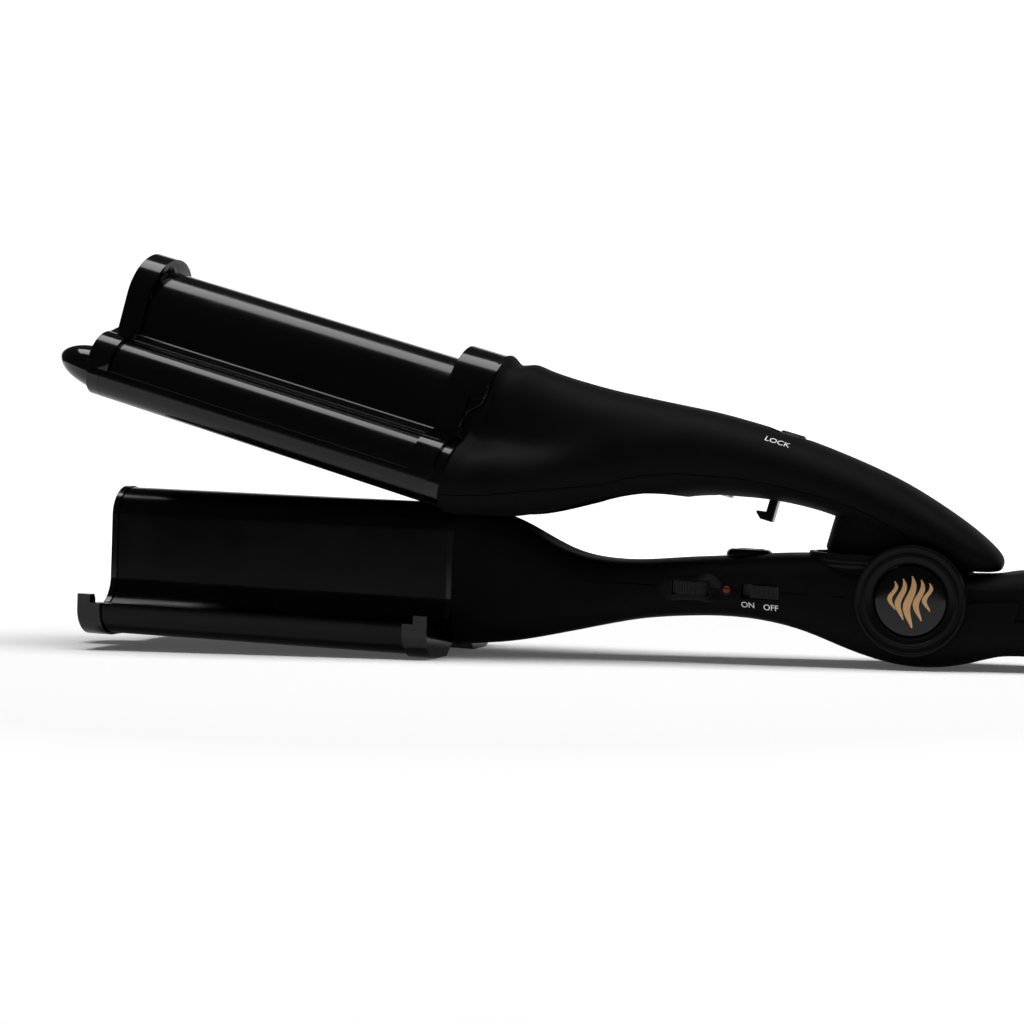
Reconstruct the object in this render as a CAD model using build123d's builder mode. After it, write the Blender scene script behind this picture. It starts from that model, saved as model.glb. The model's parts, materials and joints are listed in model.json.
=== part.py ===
from build123d import *
import os
from math import asin, atan2, cos, degrees, hypot, radians, sin, sqrt

os.makedirs("parts", exist_ok=True)

# A hair waver lying open on a flat surface. X runs from the tips of the jaws to the cord end, Y from
# the side with the controls to the other side, and Z up. Each arm is drawn in a frame of its own:
# "along" is the distance from the hinge axis towards the tips, "height" is square to that.

# ---- how the arms stand --------------------------------------------------------------------------
hinge_height = 21.0
opening_angle = 14.5
clear = 0.3
running = 0.05
far_out = 60.0

# ---- the wave that both jaws share ---------------------------------------------------------------
barrel_radius = 9.4
barrel_height = 13.1
trough_radius = 10.45
trough_height = -8.55
jaw_gap = 2.0
trough_offset = barrel_radius + trough_radius

# ---- lower jaw -----------------------------------------------------------------------------------
lower_rear = 149.1
lower_tip = 275.3
lower_plate_wall = 1.2
lip_height = -15.7
case_wall = 1.8
case_floor = -26.2
case_corner = 8.5
groove_foot = 13.0
groove_half = 7.0
groove_depth = 5.0
lower_rim_proud = 0.5
lower_band_proud = 0.8
lower_end_wall = 2.2
lower_band_length = 8.5
lower_block_length = 4.8
lower_block_height = -12.9

# ---- upper jaw -----------------------------------------------------------------------------------
upper_rear = 150.5
upper_tip = 283.0
upper_plate_wall = 1.0
upper_split = -7.2
hood_wall = 1.2
hood_gap = 0.2
hood_height = 15.7
shoulder_height = -4.5
valley_height = 5.6
upper_band_proud = 1.2
upper_plug_length = 4.8
tip_plug_length = 4.8
tip_plug_wall = 2.0
tip_band_length = 8.3
web_foot = -15.0
tip_band_rise = 3.2
rear_band_start = 153.8
rear_band_end = 162.0
rear_band_rise = 4.2
cowl_rear = 148.0
cowl_foot = 19.5

# ---- cool tips -----------------------------------------------------------------------------------
upper_nose_length = 27.4
upper_nose_height = -10.6
upper_nose_drop = 1.0
nose_half = 9.0
nose_rise = 8.0
lower_nose_length = 16.0
lower_nose_height = -22.6
lower_nose_rise = 3.6

# ---- heaters -------------------------------------------------------------------------------------
heater_end_gap = 8.0
heater_side_gap = 0.1
lower_heater_height = 5.0
lower_heater_depth = 3.0
upper_heater_depth = 2.0
thermostat_radius = 5.0
thermostat_depth = 3.0
thermostat_setback = 45.0

# ---- arms ----------------------------------------------------------------------------------------
arm_wall = 3.0
channel_wall = 1.6
channel_depth = -40.0
relief = 1.0
relief_foot = -16.0
relief_over = 0.5
upper_boss_below = 3.0
upper_boss_height = 12.0
upper_boss_top = 32.0
upper_shell_boss_foot = 20.0
lower_boss_below = 3.0
cover_front = 93.0
cheek_radius = 16.75
cheek_half = 15.4
well_half = 12.2
well_front = 31.6
well_rear = 15.5
well_floor = -13.0
collar_top = 13.0
collar_rear = 4.0
skirt_half = 13.6
skirt_foot = 0.5
collar_foot = 9.6
collar_half = 14.9
collar_front = 33.8
tail_length = 48.0
tail_wall = 4.0
tail_step = 31.3
tail_seam = -4.7
tail_ledge = 1.2
tail_hook = 0.9
tail_cover_half = 12.2
tail_cut = 10.0

# ---- hinge ---------------------------------------------------------------------------------------
pin_radius = 3.0
pin_end_gap = 0.1
knuckle_radius = 9.0
knuckle_half = 6.0
neck_half = 9.6
neck_front = 31.2
neck_foot = 7.1
neck_heel = 5.0
neck_heel_back = 3.2
neck_head = 19.0
neck_lean = 0.3
ring_radius = 16.75
ring_bore = 11.4
ring_step_radius = 14.7
ring_round = 0.1
ring_rim = 0.9
ring_groove = 0.4
ring_land = 0.5
disc_seat = 13.8
ring_face = 16.3
disc_radius = 11.1
disc_face = 15.2
disc_chamfer = 0.4
spring_wire = 0.6
spring_radius = 5.2
spring_pitch = 1.7
spring_turns = 2

# ---- controls ------------------------------------------------------------------------------------
dial_along = 68.6
dial_height = -0.2
dial_radius = 8.5
dial_depth = 4.2
dial_face = 13.9
dial_chamfer = 0.3
dial_cap = 1.0
dish_length = 20.8
dish_height = 12.6
dish_depth = 1.0
dish_flare = 2.0
flank = 13.6
slot_floor = 10.0
dial_slot_length = 12.9
dial_slot_height = 4.8
lamp_along = 56.7
lamp_height = 0.1
lamp_radius = 1.35
lamp_face = 14.75
lamp_foot = 11.0
switch_along = 46.1
switch_height = -0.1
switch_slot_length = 12.2
switch_slot_height = 4.6
switch_knob_length = 8.8
switch_knob_height = 3.9
switch_travel = 3.0
switch_face = 15.7
switch_chamfer = 0.4
switch_body_over = 0.8
switch_depth = 4.4
switch_foot = -3.2
switch_head = 3.0
switch_front_face = 10.4
board_height = -4.9
board_depth = 1.2
board_front = 101.0
board_rear = 38.0
board_half = 6.8
board_rib = 2.0
board_rib_inset = 2.0
dial_body = 7.0
dial_room = 0.4
dial_hub = 2.0

# ---- lock ----------------------------------------------------------------------------------------
lock_along = 51.5
lock_length = 9.0
lock_half = 3.4
lock_travel = 3.2
lock_recess_rear = 45.7
lock_recess_front = 60.0
lock_recess_floor = 35.0
lock_top = 37.7
lock_round = 0.8
lock_room = 1.0
hook_rear = 49.8
hook_front = 52.6
hook_nose = 55.6
hook_foot = 8.9
hook_nose_top = 11.1
hook_nose_rise = 0.5
hook_half = 2.0
hook_heel = 1.8
hook_heel_rise = 1.6
catch_front = 60.5
catch_rear = 45.6
catch_half = 5.2
catch_top = 12.4
catch_lip = 0.8
catch_round = 2.0
catch_wall = 1.4
catch_deep = 0.6
catch_slot_front = 56.7
catch_slot_rear = 48.4
catch_slot_half = 2.6
catch_seat = 6.0

# ---- cord outlet ---------------------------------------------------------------------------------
gland_height = -2.8
gland_radius = 7.0
gland_bore = 3.6
gland_flange_radius = 7.8
gland_flange = 3.0
gland_length = 14.0
gland_mouth_radius = 5.4
gland_shoulder = 2.4
gland_shoulder_radius = 8.0

# ---- screws --------------------------------------------------------------------------------------
screw_radius = 1.5
screw_head_radius = 2.8
screw_head = 1.6
boss_radius = 4.2
upper_screw_front = 67.0
upper_screw_rear = 36.0
lower_screw_front = 88.0
lower_screw_rear = 54.0
tail_screw = 30.0
screw_end_gap = 1.5
hole_end_gap = 1.0
upper_screw_length = 12.0

# ---- what follows from these sizes ---------------------------------------------------------------
case_drop = -case_floor + lower_band_proud
rest_arm = hypot(lower_rear, case_drop)
lower_tilt = degrees(atan2(case_drop, lower_rear) - asin(hinge_height / rest_arm))
upper_tilt = lower_tilt + opening_angle
lobe_radius = trough_radius - jaw_gap
hood_radius = barrel_radius + jaw_gap + upper_plate_wall + hood_gap + hood_wall
nose_tip_along = upper_tip + upper_nose_length
nose_tip_height = upper_nose_height + upper_nose_drop
tip_reach = nose_tip_along * cos(radians(upper_tilt)) - nose_tip_height * sin(radians(upper_tilt))
cord_end = tail_length + gland_length
gland_top = gland_height + gland_mouth_radius
tail_reach = cord_end * cos(radians(lower_tilt)) + gland_top * sin(radians(lower_tilt))
hinge_x = (tip_reach - tail_reach) / 2
tip_pocket_width = 2 * (lobe_radius - tip_plug_wall)
tip_pocket_height = shoulder_height - trough_height + tip_pocket_width


def arm_frame(tilt):
    """The frame of an arm: X to the cord end, Y across, Z up through the arm."""
    run = Vector(cos(radians(tilt)), 0, -sin(radians(tilt)))
    return Plane(origin=(hinge_x, 0, hinge_height), x_dir=run, z_dir=run.cross(Vector(0, 1, 0)))


lower = arm_frame(lower_tilt)
upper = arm_frame(upper_tilt)


def section(arm, along):
    """A plane across the arm that faces the cord end."""
    return Plane(origin=arm.from_local_coords((-along, 0, 0)), x_dir=arm.y_dir, z_dir=arm.x_dir)


def side(arm, across=0):
    """A plane along the arm that faces the controls, with its first axis towards the cord end."""
    return Plane(origin=arm.from_local_coords((0, across, 0)), x_dir=arm.x_dir, z_dir=-arm.y_dir)


def level(arm, height):
    """A plane along the arm that faces up."""
    return Plane(origin=arm.from_local_coords((0, 0, height)), x_dir=arm.x_dir, z_dir=arm.z_dir)


def wave_reach(shift, end_height):
    """How far out the wave's edge is where it stops."""
    trough = trough_radius - shift
    drop = max(trough_height - end_height, 0)
    return trough_offset + sqrt(trough**2 - drop**2)


def wave_line(shift, end_height):
    """One barrel between two troughs, shift mm outside the face of the lower plate."""
    barrel = barrel_radius + shift
    trough = trough_radius - shift
    drop = max(trough_height - end_height, 0)
    swing = 180 - degrees(asin(drop / trough))
    CenterArc((0, barrel_height), barrel, 0, 180)
    for hand in (-1, 1):
        Line((hand * barrel, barrel_height), (hand * barrel, trough_height))
        CenterArc((hand * trough_offset, trough_height), trough, 90 + hand * 90, hand * swing)
        if end_height > trough_height:
            edge = hand * (trough_offset + trough)
            Line((edge, trough_height), (edge, end_height))


def end_lines(inner, outer, height):
    """Close two outlines at both of their ends."""
    for hand in (-1, 1):
        Line((hand * inner, height), (hand * outer, height))


case_half = wave_reach(-lower_plate_wall, lip_height) + case_wall


def case_line(grow, top):
    """The outside of the lower jaw, from one lip under the troughs to the other."""
    half = case_half + grow
    floor = case_floor - grow
    corner = case_corner + grow
    groove = floor + groove_depth
    for hand in (-1, 1):
        CenterArc((hand * (half - corner), floor + corner), corner, 270, hand * 90)
        Line((hand * (half - corner), floor), (hand * groove_foot, floor))
        Line((hand * groove_foot, floor), (hand * groove_half, groove))
        if top > floor + corner + 0.01:
            Line((hand * half, floor + corner), (hand * half, top))
    Line((-groove_half, groove), (groove_half, groove))


def hood_line(grow, rise, foot):
    """The outside of the upper jaw: a dome between two shoulders."""
    half = trough_offset + lobe_radius + grow
    dome = hood_radius + grow
    crown = hood_height + rise
    valley = valley_height + grow
    lobe_top = shoulder_height + lobe_radius + grow
    CenterArc((0, crown), dome, 0, 180)
    for hand in (-1, 1):
        Line((hand * dome, crown), (hand * dome, valley))
        Line((hand * dome, valley), (hand * trough_offset, lobe_top))
        CenterArc((hand * trough_offset, shoulder_height), lobe_radius + grow, 90, -hand * 90)
        Line((hand * half, shoulder_height), (hand * half, foot))


def finish_node(part, name):
    """Name a finished piece and write it."""
    part.label = name
    export_step(part, f"parts/{name}.step")


# ==== lower jaw ===================================================================================
plate_front = lower_tip - lower_end_wall
plate_length = lower_tip - lower_rear - 2 * lower_end_wall

with BuildPart() as lower_plate:
    with BuildSketch(section(lower, plate_front)):
        with BuildLine():
            wave_line(0, lip_height)
            wave_line(-lower_plate_wall, lip_height)
            end_lines(wave_reach(0, lip_height), wave_reach(-lower_plate_wall, lip_height), lip_height)
        make_face()
    extrude(amount=plate_length)
finish_node(lower_plate.part, "lower_heating_plate")

with BuildPart() as lower_case:
    with BuildSketch(section(lower, plate_front)):
        with BuildLine():
            case_line(0, lip_height)
            case_line(-case_wall, lip_height)
            end_lines(case_half, case_half - case_wall, lip_height)
        make_face()
    extrude(amount=plate_length)
finish_node(lower_case.part, "lower_jaw_cover")


def lower_cap(end, facing):
    """An end cap of the lower jaw: a wall, a band round the cover and a block over each lip."""
    wall_start = section(lower, end)
    reach = wave_reach(lower_rim_proud, lower_block_height)
    band_half = case_half + lower_band_proud
    with BuildPart() as cap:
        with BuildSketch(wall_start):
            with BuildLine():
                wave_line(lower_rim_proud, lower_block_height)
                case_line(lower_band_proud, lower_block_height)
                end_lines(reach, band_half, lower_block_height)
            make_face()
        extrude(amount=facing * lower_end_wall)
        with BuildSketch(wall_start):
            with BuildLine():
                case_line(lower_band_proud, lip_height)
                case_line(0, lip_height)
                end_lines(case_half, band_half, lip_height)
            make_face()
        extrude(amount=facing * lower_band_length)
        with BuildSketch(wall_start):
            for hand in (-1, 1):
                with Locations((hand * (reach + band_half) / 2, (lip_height + lower_block_height) / 2)):
                    Rectangle(band_half - reach + 2 * lower_band_proud, lower_block_height - lip_height)
            for hand in (-1, 1):
                with Locations((hand * trough_offset, trough_height)):
                    Circle(trough_radius - lower_rim_proud, mode=Mode.SUBTRACT)
                with Locations((hand * (band_half + lower_band_proud), lip_height)):
                    Rectangle(2 * lower_band_proud, 4 * case_corner, mode=Mode.SUBTRACT)
        extrude(amount=facing * lower_block_length)
    return cap


lower_tip_cap = lower_cap(lower_tip, 1)
finish_node(lower_tip_cap.part, "lower_tip_cap")
lower_rear_cap = lower_cap(lower_rear, -1)
finish_node(lower_rear_cap.part, "lower_rear_cap")

heater_front = lower_tip - lower_end_wall - heater_end_gap
heater_length = lower_tip - lower_rear - 2 * (lower_end_wall + heater_end_gap)
lower_heater_half = barrel_radius - lower_plate_wall

with BuildPart() as lower_heater:
    with BuildSketch(section(lower, heater_front)):
        with Locations((0, lower_heater_height)):
            Rectangle(2 * lower_heater_half, lower_heater_depth)
    extrude(amount=heater_length)
finish_node(lower_heater.part, "lower_heater")

with BuildPart() as lower_thermostat:
    with BuildSketch(level(lower, lower_heater_height - lower_heater_depth / 2)):
        with Locations((-lower_rear - thermostat_setback, 0)):
            Circle(thermostat_radius)
    extrude(amount=-thermostat_depth)
finish_node(lower_thermostat.part, "lower_thermostat")

# ==== upper jaw ===================================================================================
hood_front = upper_tip - tip_plug_length
hood_length = upper_tip - upper_rear - tip_plug_length - upper_plug_length
lobe_half = trough_offset + lobe_radius
plate_outer = jaw_gap + upper_plate_wall

with BuildPart() as upper_plate:
    with BuildSketch(section(upper, hood_front)):
        with BuildLine():
            wave_line(jaw_gap, upper_split)
            wave_line(plate_outer, upper_split)
            end_lines(lobe_half, wave_reach(plate_outer, upper_split), upper_split)
        make_face()
    extrude(amount=hood_length)
finish_node(upper_plate.part, "upper_heating_plate")

with BuildPart() as upper_hood:
    with BuildSketch(section(upper, hood_front)):
        with BuildLine():
            hood_line(0, 0, upper_split)
            hood_line(-hood_wall, 0, upper_split)
            end_lines(lobe_half, lobe_half - hood_wall, upper_split)
        make_face()
    extrude(amount=hood_length)
finish_node(upper_hood.part, "upper_jaw_cover")


with BuildPart() as upper_tip_cap:
    with BuildSketch(section(upper, upper_tip)):
        with BuildLine():
            wave_line(jaw_gap, upper_split)
            hood_line(0, 0, upper_split)
        make_face()
        with Locations((0, barrel_height)):
            Circle(hood_radius - hood_wall)
        with Locations((0, (barrel_height + web_foot) / 2)):
            Rectangle(2 * trough_offset - 2 * lobe_radius + 2, barrel_height - web_foot)
    extrude(amount=tip_plug_length)
    with BuildSketch(section(upper, upper_tip - tip_plug_wall)):
        for hand in (-1, 1):
            with Locations((hand * trough_offset, (trough_height + shoulder_height) / 2)):
                SlotOverall(tip_pocket_height, tip_pocket_width, rotation=90)
    extrude(amount=tip_plug_length, mode=Mode.SUBTRACT)
    with BuildSketch(section(upper, upper_tip)):
        with BuildLine():
            hood_line(upper_band_proud, tip_band_rise, upper_split)
            hood_line(0, 0, upper_split)
            end_lines(lobe_half, lobe_half + upper_band_proud, upper_split)
        make_face()
    extrude(amount=tip_band_length)
finish_node(upper_tip_cap.part, "upper_tip_cap")

with BuildPart() as upper_rear_cap:
    with BuildSketch(section(upper, upper_rear + upper_plug_length)):
        with BuildLine():
            wave_line(jaw_gap, upper_split)
            hood_line(0, 0, upper_split)
        make_face()
    extrude(amount=upper_plug_length)
    with BuildSketch(section(upper, rear_band_end)):
        with BuildLine():
            hood_line(upper_band_proud, rear_band_rise, upper_split)
            hood_line(0, 0, upper_split)
            end_lines(lobe_half, lobe_half + upper_band_proud, upper_split)
        make_face()
    extrude(amount=rear_band_end - rear_band_start)
    with BuildSketch(section(upper, rear_band_end)):
        with Locations((0, hood_height + rear_band_rise)):
            Circle(hood_radius + upper_band_proud)
        Rectangle(4 * hood_radius, 2 * cowl_foot, mode=Mode.SUBTRACT)
        with Locations((0, hood_height)):
            Circle(hood_radius, mode=Mode.SUBTRACT)
    extrude(amount=rear_band_end - upper_rear)
    with BuildSketch(section(upper, upper_rear)):
        with Locations((0, hood_height + rear_band_rise)):
            Circle(hood_radius + upper_band_proud)
            Circle(hood_radius - clear, mode=Mode.SUBTRACT)
        Rectangle(4 * hood_radius, 2 * cowl_foot, mode=Mode.SUBTRACT)
    extrude(amount=upper_rear - cowl_rear)
finish_node(upper_rear_cap.part, "upper_rear_cap")

upper_heater_half = lobe_radius - hood_wall - heater_side_gap
upper_heater_front = hood_front - heater_end_gap
upper_heater_length = hood_length - 2 * heater_end_gap

for hand, name in ((-1, "upper_heater_near"), (1, "upper_heater_far")):
    with BuildPart() as upper_heater:
        with BuildSketch(section(upper, upper_heater_front)):
            with Locations((hand * trough_offset, trough_height + upper_heater_depth / 2)):
                Rectangle(2 * upper_heater_half, upper_heater_depth)
        extrude(amount=upper_heater_length)
    finish_node(upper_heater.part, name)

with BuildPart() as upper_thermostat:
    with BuildSketch(level(upper, trough_height + upper_heater_depth)):
        with Locations((-upper_rear - thermostat_setback, -trough_offset)):
            Circle(thermostat_radius)
    extrude(amount=thermostat_depth)
finish_node(upper_thermostat.part, "upper_thermostat")


# ==== cool tips ===================================================================================
# Each row gives how far along the nose a section is, its girth and how far it has dropped, as shares.
upper_nose_rows = (
    (0.0, 1.0, 0.0),
    (0.3, 0.97, 0.0),
    (0.59, 0.86, 0.2),
    (0.77, 0.69, 0.4),
    (0.89, 0.47, 0.6),
    (0.97, 0.2, 0.9),
    (1.0, 0.05, 1.0),
)
lower_nose_rows = (
    (0.0, 1.0),
    (0.5, 0.92),
    (0.85, 0.66),
    (1.0, 0.3),
)

with BuildPart() as upper_nose:
    for share, girth, drop in upper_nose_rows:
        with BuildSketch(section(upper, upper_tip + share * upper_nose_length)):
            with Locations((0, upper_nose_height + drop * upper_nose_drop)):
                Ellipse(nose_half * girth, nose_rise * girth)
    loft()
finish_node(upper_nose.part, "upper_cool_tip")

with BuildPart() as lower_nose:
    for share, girth in lower_nose_rows:
        with BuildSketch(section(lower, lower_tip + share * lower_nose_length)):
            with Locations((0, lower_nose_height)):
                Ellipse(nose_half * girth, lower_nose_rise * girth)
    loft()
finish_node(lower_nose.part, "lower_cool_tip")

# ==== upper arm ===================================================================================
# Each row gives a section's distance along, half width, top, bottom and how much of the jaw's wave
# it still shows, from 1 beside the jaw to 0 where the handle is oval.
upper_arm_rows = (
    (150.5, 28.2, 33.4, -17.5, 1.0),
    (145.5, 28.0, 33.5, -17.1, 1.0),
    (142.6, 27.6, 33.7, -16.6, 0.97),
    (139.5, 27.0, 34.7, -16.0, 0.93),
    (136.0, 26.2, 34.5, -15.2, 0.88),
    (131.0, 25.0, 34.1, -14.1, 0.8),
    (122.0, 22.9, 34.0, -11.0, 0.6),
    (111.0, 20.4, 34.3, -6.4, 0.3),
    (100.0, 18.2, 35.1, -2.3, 0.1),
    (90.0, 16.8, 35.9, 2.2, 0.0),
    (78.0, 15.6, 36.9, 8.6, 0.0),
    (62.0, 14.8, 37.3, 13.6, 0.0),
    (46.0, 14.6, 36.9, 16.3, 0.0),
    (30.0, 14.6, 35.5, 16.6, 0.0),
    (12.0, 14.2, 32.6, 14.6, 0.0),
    (0.0, 13.6, 29.3, 13.0, 0.0),
    (-12.0, 12.4, 25.0, 12.6, 0.0),
    (-17.5, 10.2, 22.3, 13.9, 0.0),
    (-20.2, 7.4, 20.5, 14.9, 0.0),
    (-21.6, 3.4, 18.4, 16.2, 0.0),
)
# The wave's outline and the oval's, as shares of the half width and of the height.
wave_outline = (
    (0.0, 1.0),
    (0.28, 0.955),
    (0.445, 0.83),
    (0.49, 0.63),
    (0.57, 0.475),
    (0.79, 0.405),
    (1.0, 0.25),
    (0.96, 0.09),
    (0.71, 0.0),
    (0.35, 0.0),
    (0.0, 0.0),
)
oval_angles = (90, 68, 45, 25, 8, -8, -25, -42, -58, -75, -90)


def upper_arm_outline(half, top, bottom, wave):
    """Points round a section of the upper arm, from the top down the far side and back."""
    points = []
    for (across, up), angle in zip(wave_outline, oval_angles):
        oval_across = cos(radians(angle))
        oval_up = (1 + sin(radians(angle))) / 2
        share_across = wave * across + (1 - wave) * oval_across
        share_up = wave * up + (1 - wave) * oval_up
        points.append((half * share_across, bottom + (top - bottom) * share_up))
    mirrored = [(-across, up) for across, up in reversed(points[1:-1])]
    return points + mirrored


# Each row gives a section's distance along, half width, top, bottom and how square it is.
lower_arm_rows = (
    (149.1, 11.0, 22.3, -24.4, 3.0),
    (143.0, 11.0, 21.2, -23.4, 3.0),
    (130.0, 11.0, 17.8, -21.7, 3.0),
    (117.5, 11.3, 12.0, -19.0, 3.0),
    (109.0, 11.5, 8.7, -16.9, 3.0),
    (101.0, 11.8, 7.3, -14.9, 3.0),
    (87.0, 12.4, 7.3, -11.7, 2.8),
    (74.0, 13.4, 8.7, -10.0, 2.7),
    (60.0, 14.2, 10.0, -9.1, 2.7),
    (45.0, 14.8, 11.5, -9.9, 2.8),
    (33.0, 15.0, 12.2, -12.3, 3.2),
    (21.0, 15.0, 12.2, -16.4, 3.2),
    (11.0, 15.0, 11.4, -19.3, 3.2),
    (3.0, 15.0, 9.8, -20.7, 3.0),
    (-5.0, 15.0, 8.6, -20.8, 3.0),
    (-13.5, 14.6, 8.4, -19.6, 3.0),
    (-20.0, 13.8, 8.6, -17.8, 3.0),
    (-25.5, 13.3, 9.1, -16.2, 3.2),
    (-29.5, 13.1, 9.9, -15.7, 3.2),
    (-36.0, 13.0, 10.2, -15.5, 3.4),
    (-44.0, 12.8, 10.1, -15.4, 3.4),
    (-48.0, 12.6, 10.0, -15.3, 3.4),
)
lower_arm_angles = (90, 66, 46, 24, 0, -24, -46, -66)


def squared(value, power):
    """A sine or cosine pushed out towards a square."""
    return (1 if value >= 0 else -1) * abs(value) ** (2 / power)


def lower_arm_outline(half, top, bottom, power):
    """Points round a section of the lower arm, from the top down the far side and back."""
    middle = (top + bottom) / 2
    reach = (top - bottom) / 2
    points = []
    for angle in lower_arm_angles + tuple(angle - 180 for angle in lower_arm_angles):
        across = half * squared(cos(radians(angle)), power)
        points.append((across, middle + reach * squared(sin(radians(angle)), power)))
    return points


def lower_arm_body(inset, rows):
    """The lower arm as one solid, its skin moved in by inset."""
    with BuildPart() as body:
        for along, half, top, bottom, power in rows:
            outline = lower_arm_outline(half - inset, top - inset, bottom + inset, power)
            with BuildSketch(section(lower, along)):
                with BuildLine():
                    Spline(*outline, periodic=True)
                make_face()
        loft()
    return body.part


def upper_arm_body(inset, rows):
    """The upper arm as one solid, its skin moved in by inset."""
    with BuildPart() as body:
        for along, half, top, bottom, wave in rows:
            outline = upper_arm_outline(half - inset, top - inset, bottom + inset, wave)
            with BuildSketch(section(upper, along)):
                with BuildLine():
                    Spline(*outline, periodic=True)
                make_face()
        loft()
    return body.part


# The underside of the upper arm is hollowed where the blade of the lower arm comes up into it.
channel_rows = (
    (155.0, 11.9, 24.9, 0.0),
    (149.1, 11.9, 24.1, 0.0),
    (130.0, 11.9, 20.4, 0.0),
    (117.5, 12.1, 14.4, -1.5),
    (109.0, 12.3, 10.7, -3.0),
    (101.0, 12.6, 9.0, -3.0),
    (87.0, 13.2, 8.9, -2.0),
    (70.0, 14.4, 10.4, 0.0),
)
channel_angles = (0, 30, 60, 90, 120, 150, 180)
channel_power = 3


def channel_body(grow):
    """The space over the blade, its walls moved out by grow."""
    with BuildPart() as body:
        for along, half, top, foot in channel_rows:
            arch = []
            for angle in channel_angles:
                across = (half + grow) * squared(cos(radians(angle)), channel_power)
                rise = (top + grow - foot) * squared(sin(radians(angle)), channel_power)
                arch.append((across, foot + rise))
            left, right = arch[-1][0], arch[0][0]
            with BuildSketch(section(upper, along)):
                with BuildLine():
                    Spline(*arch)
                    Polyline(arch[-1], (left, channel_depth), (right, channel_depth), arch[0])
                make_face()
        loft()
    return body.part


upper_seam = (
    (-156.0, -13.5),
    (-144.8, -10.9),
    (-135.3, -8.0),
    (-120.9, -2.0),
    (-103.2, 5.0),
    (-91.7, 11.6),
    (-80.3, 15.7),
    (-62.9, 19.6),
    (-49.0, 21.0),
    (-37.9, 21.1),
    (-22.1, 20.2),
    (-9.6, 17.8),
    (2.8, 15.9),
    (14.0, 13.6),
    (30.0, 10.6),
)

seam_front, seam_rear = upper_seam[0][0], upper_seam[-1][0]

with BuildPart() as upper_below:
    with BuildSketch(side(upper, -far_out)):
        with BuildLine():
            Spline(*upper_seam)
            Polyline(upper_seam[-1], (seam_rear, -far_out), (seam_front, -far_out), upper_seam[0])
        make_face()
    extrude(amount=-2 * far_out)

upper_solid = upper_arm_body(0, upper_arm_rows)
upper_channel = channel_body(0)
upper_hollow = upper_arm_body(arm_wall, upper_arm_rows[1:-1]) - channel_body(channel_wall)
lower_solid = lower_arm_body(0, lower_arm_rows)
lower_hollow = lower_arm_body(arm_wall, lower_arm_rows[1:-1])

upper_screws = (upper_screw_front, upper_screw_rear)
upper_screw_foot = {upper_screw_front: 14.0, upper_screw_rear: 18.6}
stem_front = hook_front + lock_travel + clear
stem_rear = hook_rear - clear
hook_slot_front = hook_nose + lock_travel + clear
cheek_inside = 2 * knuckle_half - clear

# ==== upper shell and lock ========================================================================
with BuildPart() as upper_shell:
    add(upper_solid)
    add(upper_hollow, mode=Mode.SUBTRACT)
    add(upper_channel, mode=Mode.SUBTRACT)
    with BuildSketch(level(upper, upper_shell_boss_foot)):
        for along in upper_screws:
            with Locations((-along, 0)):
                Circle(boss_radius)
    extrude(amount=far_out)
    add(upper_solid, mode=Mode.INTERSECT)
    add(upper_below.part, mode=Mode.SUBTRACT)
    with BuildSketch(level(upper, upper_boss_top)):
        for along in upper_screws:
            with Locations((-along, 0)):
                Circle(screw_radius)
    extrude(amount=-far_out, mode=Mode.SUBTRACT)
    with BuildSketch(side(upper, -cheek_inside)):
        Circle(cheek_radius + 2 * clear)
    extrude(amount=far_out, mode=Mode.SUBTRACT)
    with BuildSketch(side(upper, cheek_inside)):
        Circle(cheek_radius + 2 * clear)
    extrude(amount=-far_out, mode=Mode.SUBTRACT)
    with BuildSketch(level(upper, lock_recess_floor)):
        with Locations((-(lock_recess_front + lock_recess_rear) / 2, 0)):
            SlotOverall(lock_recess_front - lock_recess_rear, 2 * (lock_half + lock_room))
    extrude(amount=far_out, mode=Mode.SUBTRACT)
    with BuildSketch(level(upper, upper_shell_boss_foot)):
        with Locations((-(stem_front + stem_rear) / 2, 0)):
            Rectangle(stem_front - stem_rear, 2 * (hook_half + clear))
    extrude(amount=far_out, mode=Mode.SUBTRACT)
    add(upper_rear_cap.part, mode=Mode.SUBTRACT)
finish_node(upper_shell.part, "upper_handle_shell")

with BuildPart() as lock_knob:
    with BuildSketch(level(upper, lock_recess_floor + clear / 2)):
        with Locations((-lock_along, 0)):
            SlotOverall(lock_length, 2 * lock_half)
    extrude(amount=lock_top - lock_recess_floor - clear / 2)
    fillet(lock_knob.edges().group_by(Axis(upper.origin, upper.z_dir))[-1], lock_round)
finish_node(lock_knob.part, "lock_knob")

with BuildPart() as lock_hook:
    with BuildSketch(side(upper, -hook_half)):
        with BuildLine():
            Polyline(
                (-hook_rear, lock_recess_floor + clear / 2),
                (-hook_front, lock_recess_floor + clear / 2),
                (-hook_front, hook_nose_top + hook_nose_rise),
                (-hook_nose, hook_nose_top),
                (-hook_nose, hook_foot + hook_heel_rise),
                (-hook_nose + hook_heel, hook_foot),
                (-hook_rear, hook_foot),
                close=True,
            )
        make_face()
    extrude(amount=-2 * hook_half)
finish_node(lock_hook.part, "lock_hook")

# ==== upper arm cover with the knuckle ============================================================
relief_half = wave_reach(relief, relief_foot)

# The back of the neck, from under the pin to where it meets the handle.
neck_back = (
    (-4.0, -8.0),
    (6.0, -4.0),
    (8.5, 6.0),
    (6.8, 14.0),
    (6.0, 17.0),
)

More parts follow.
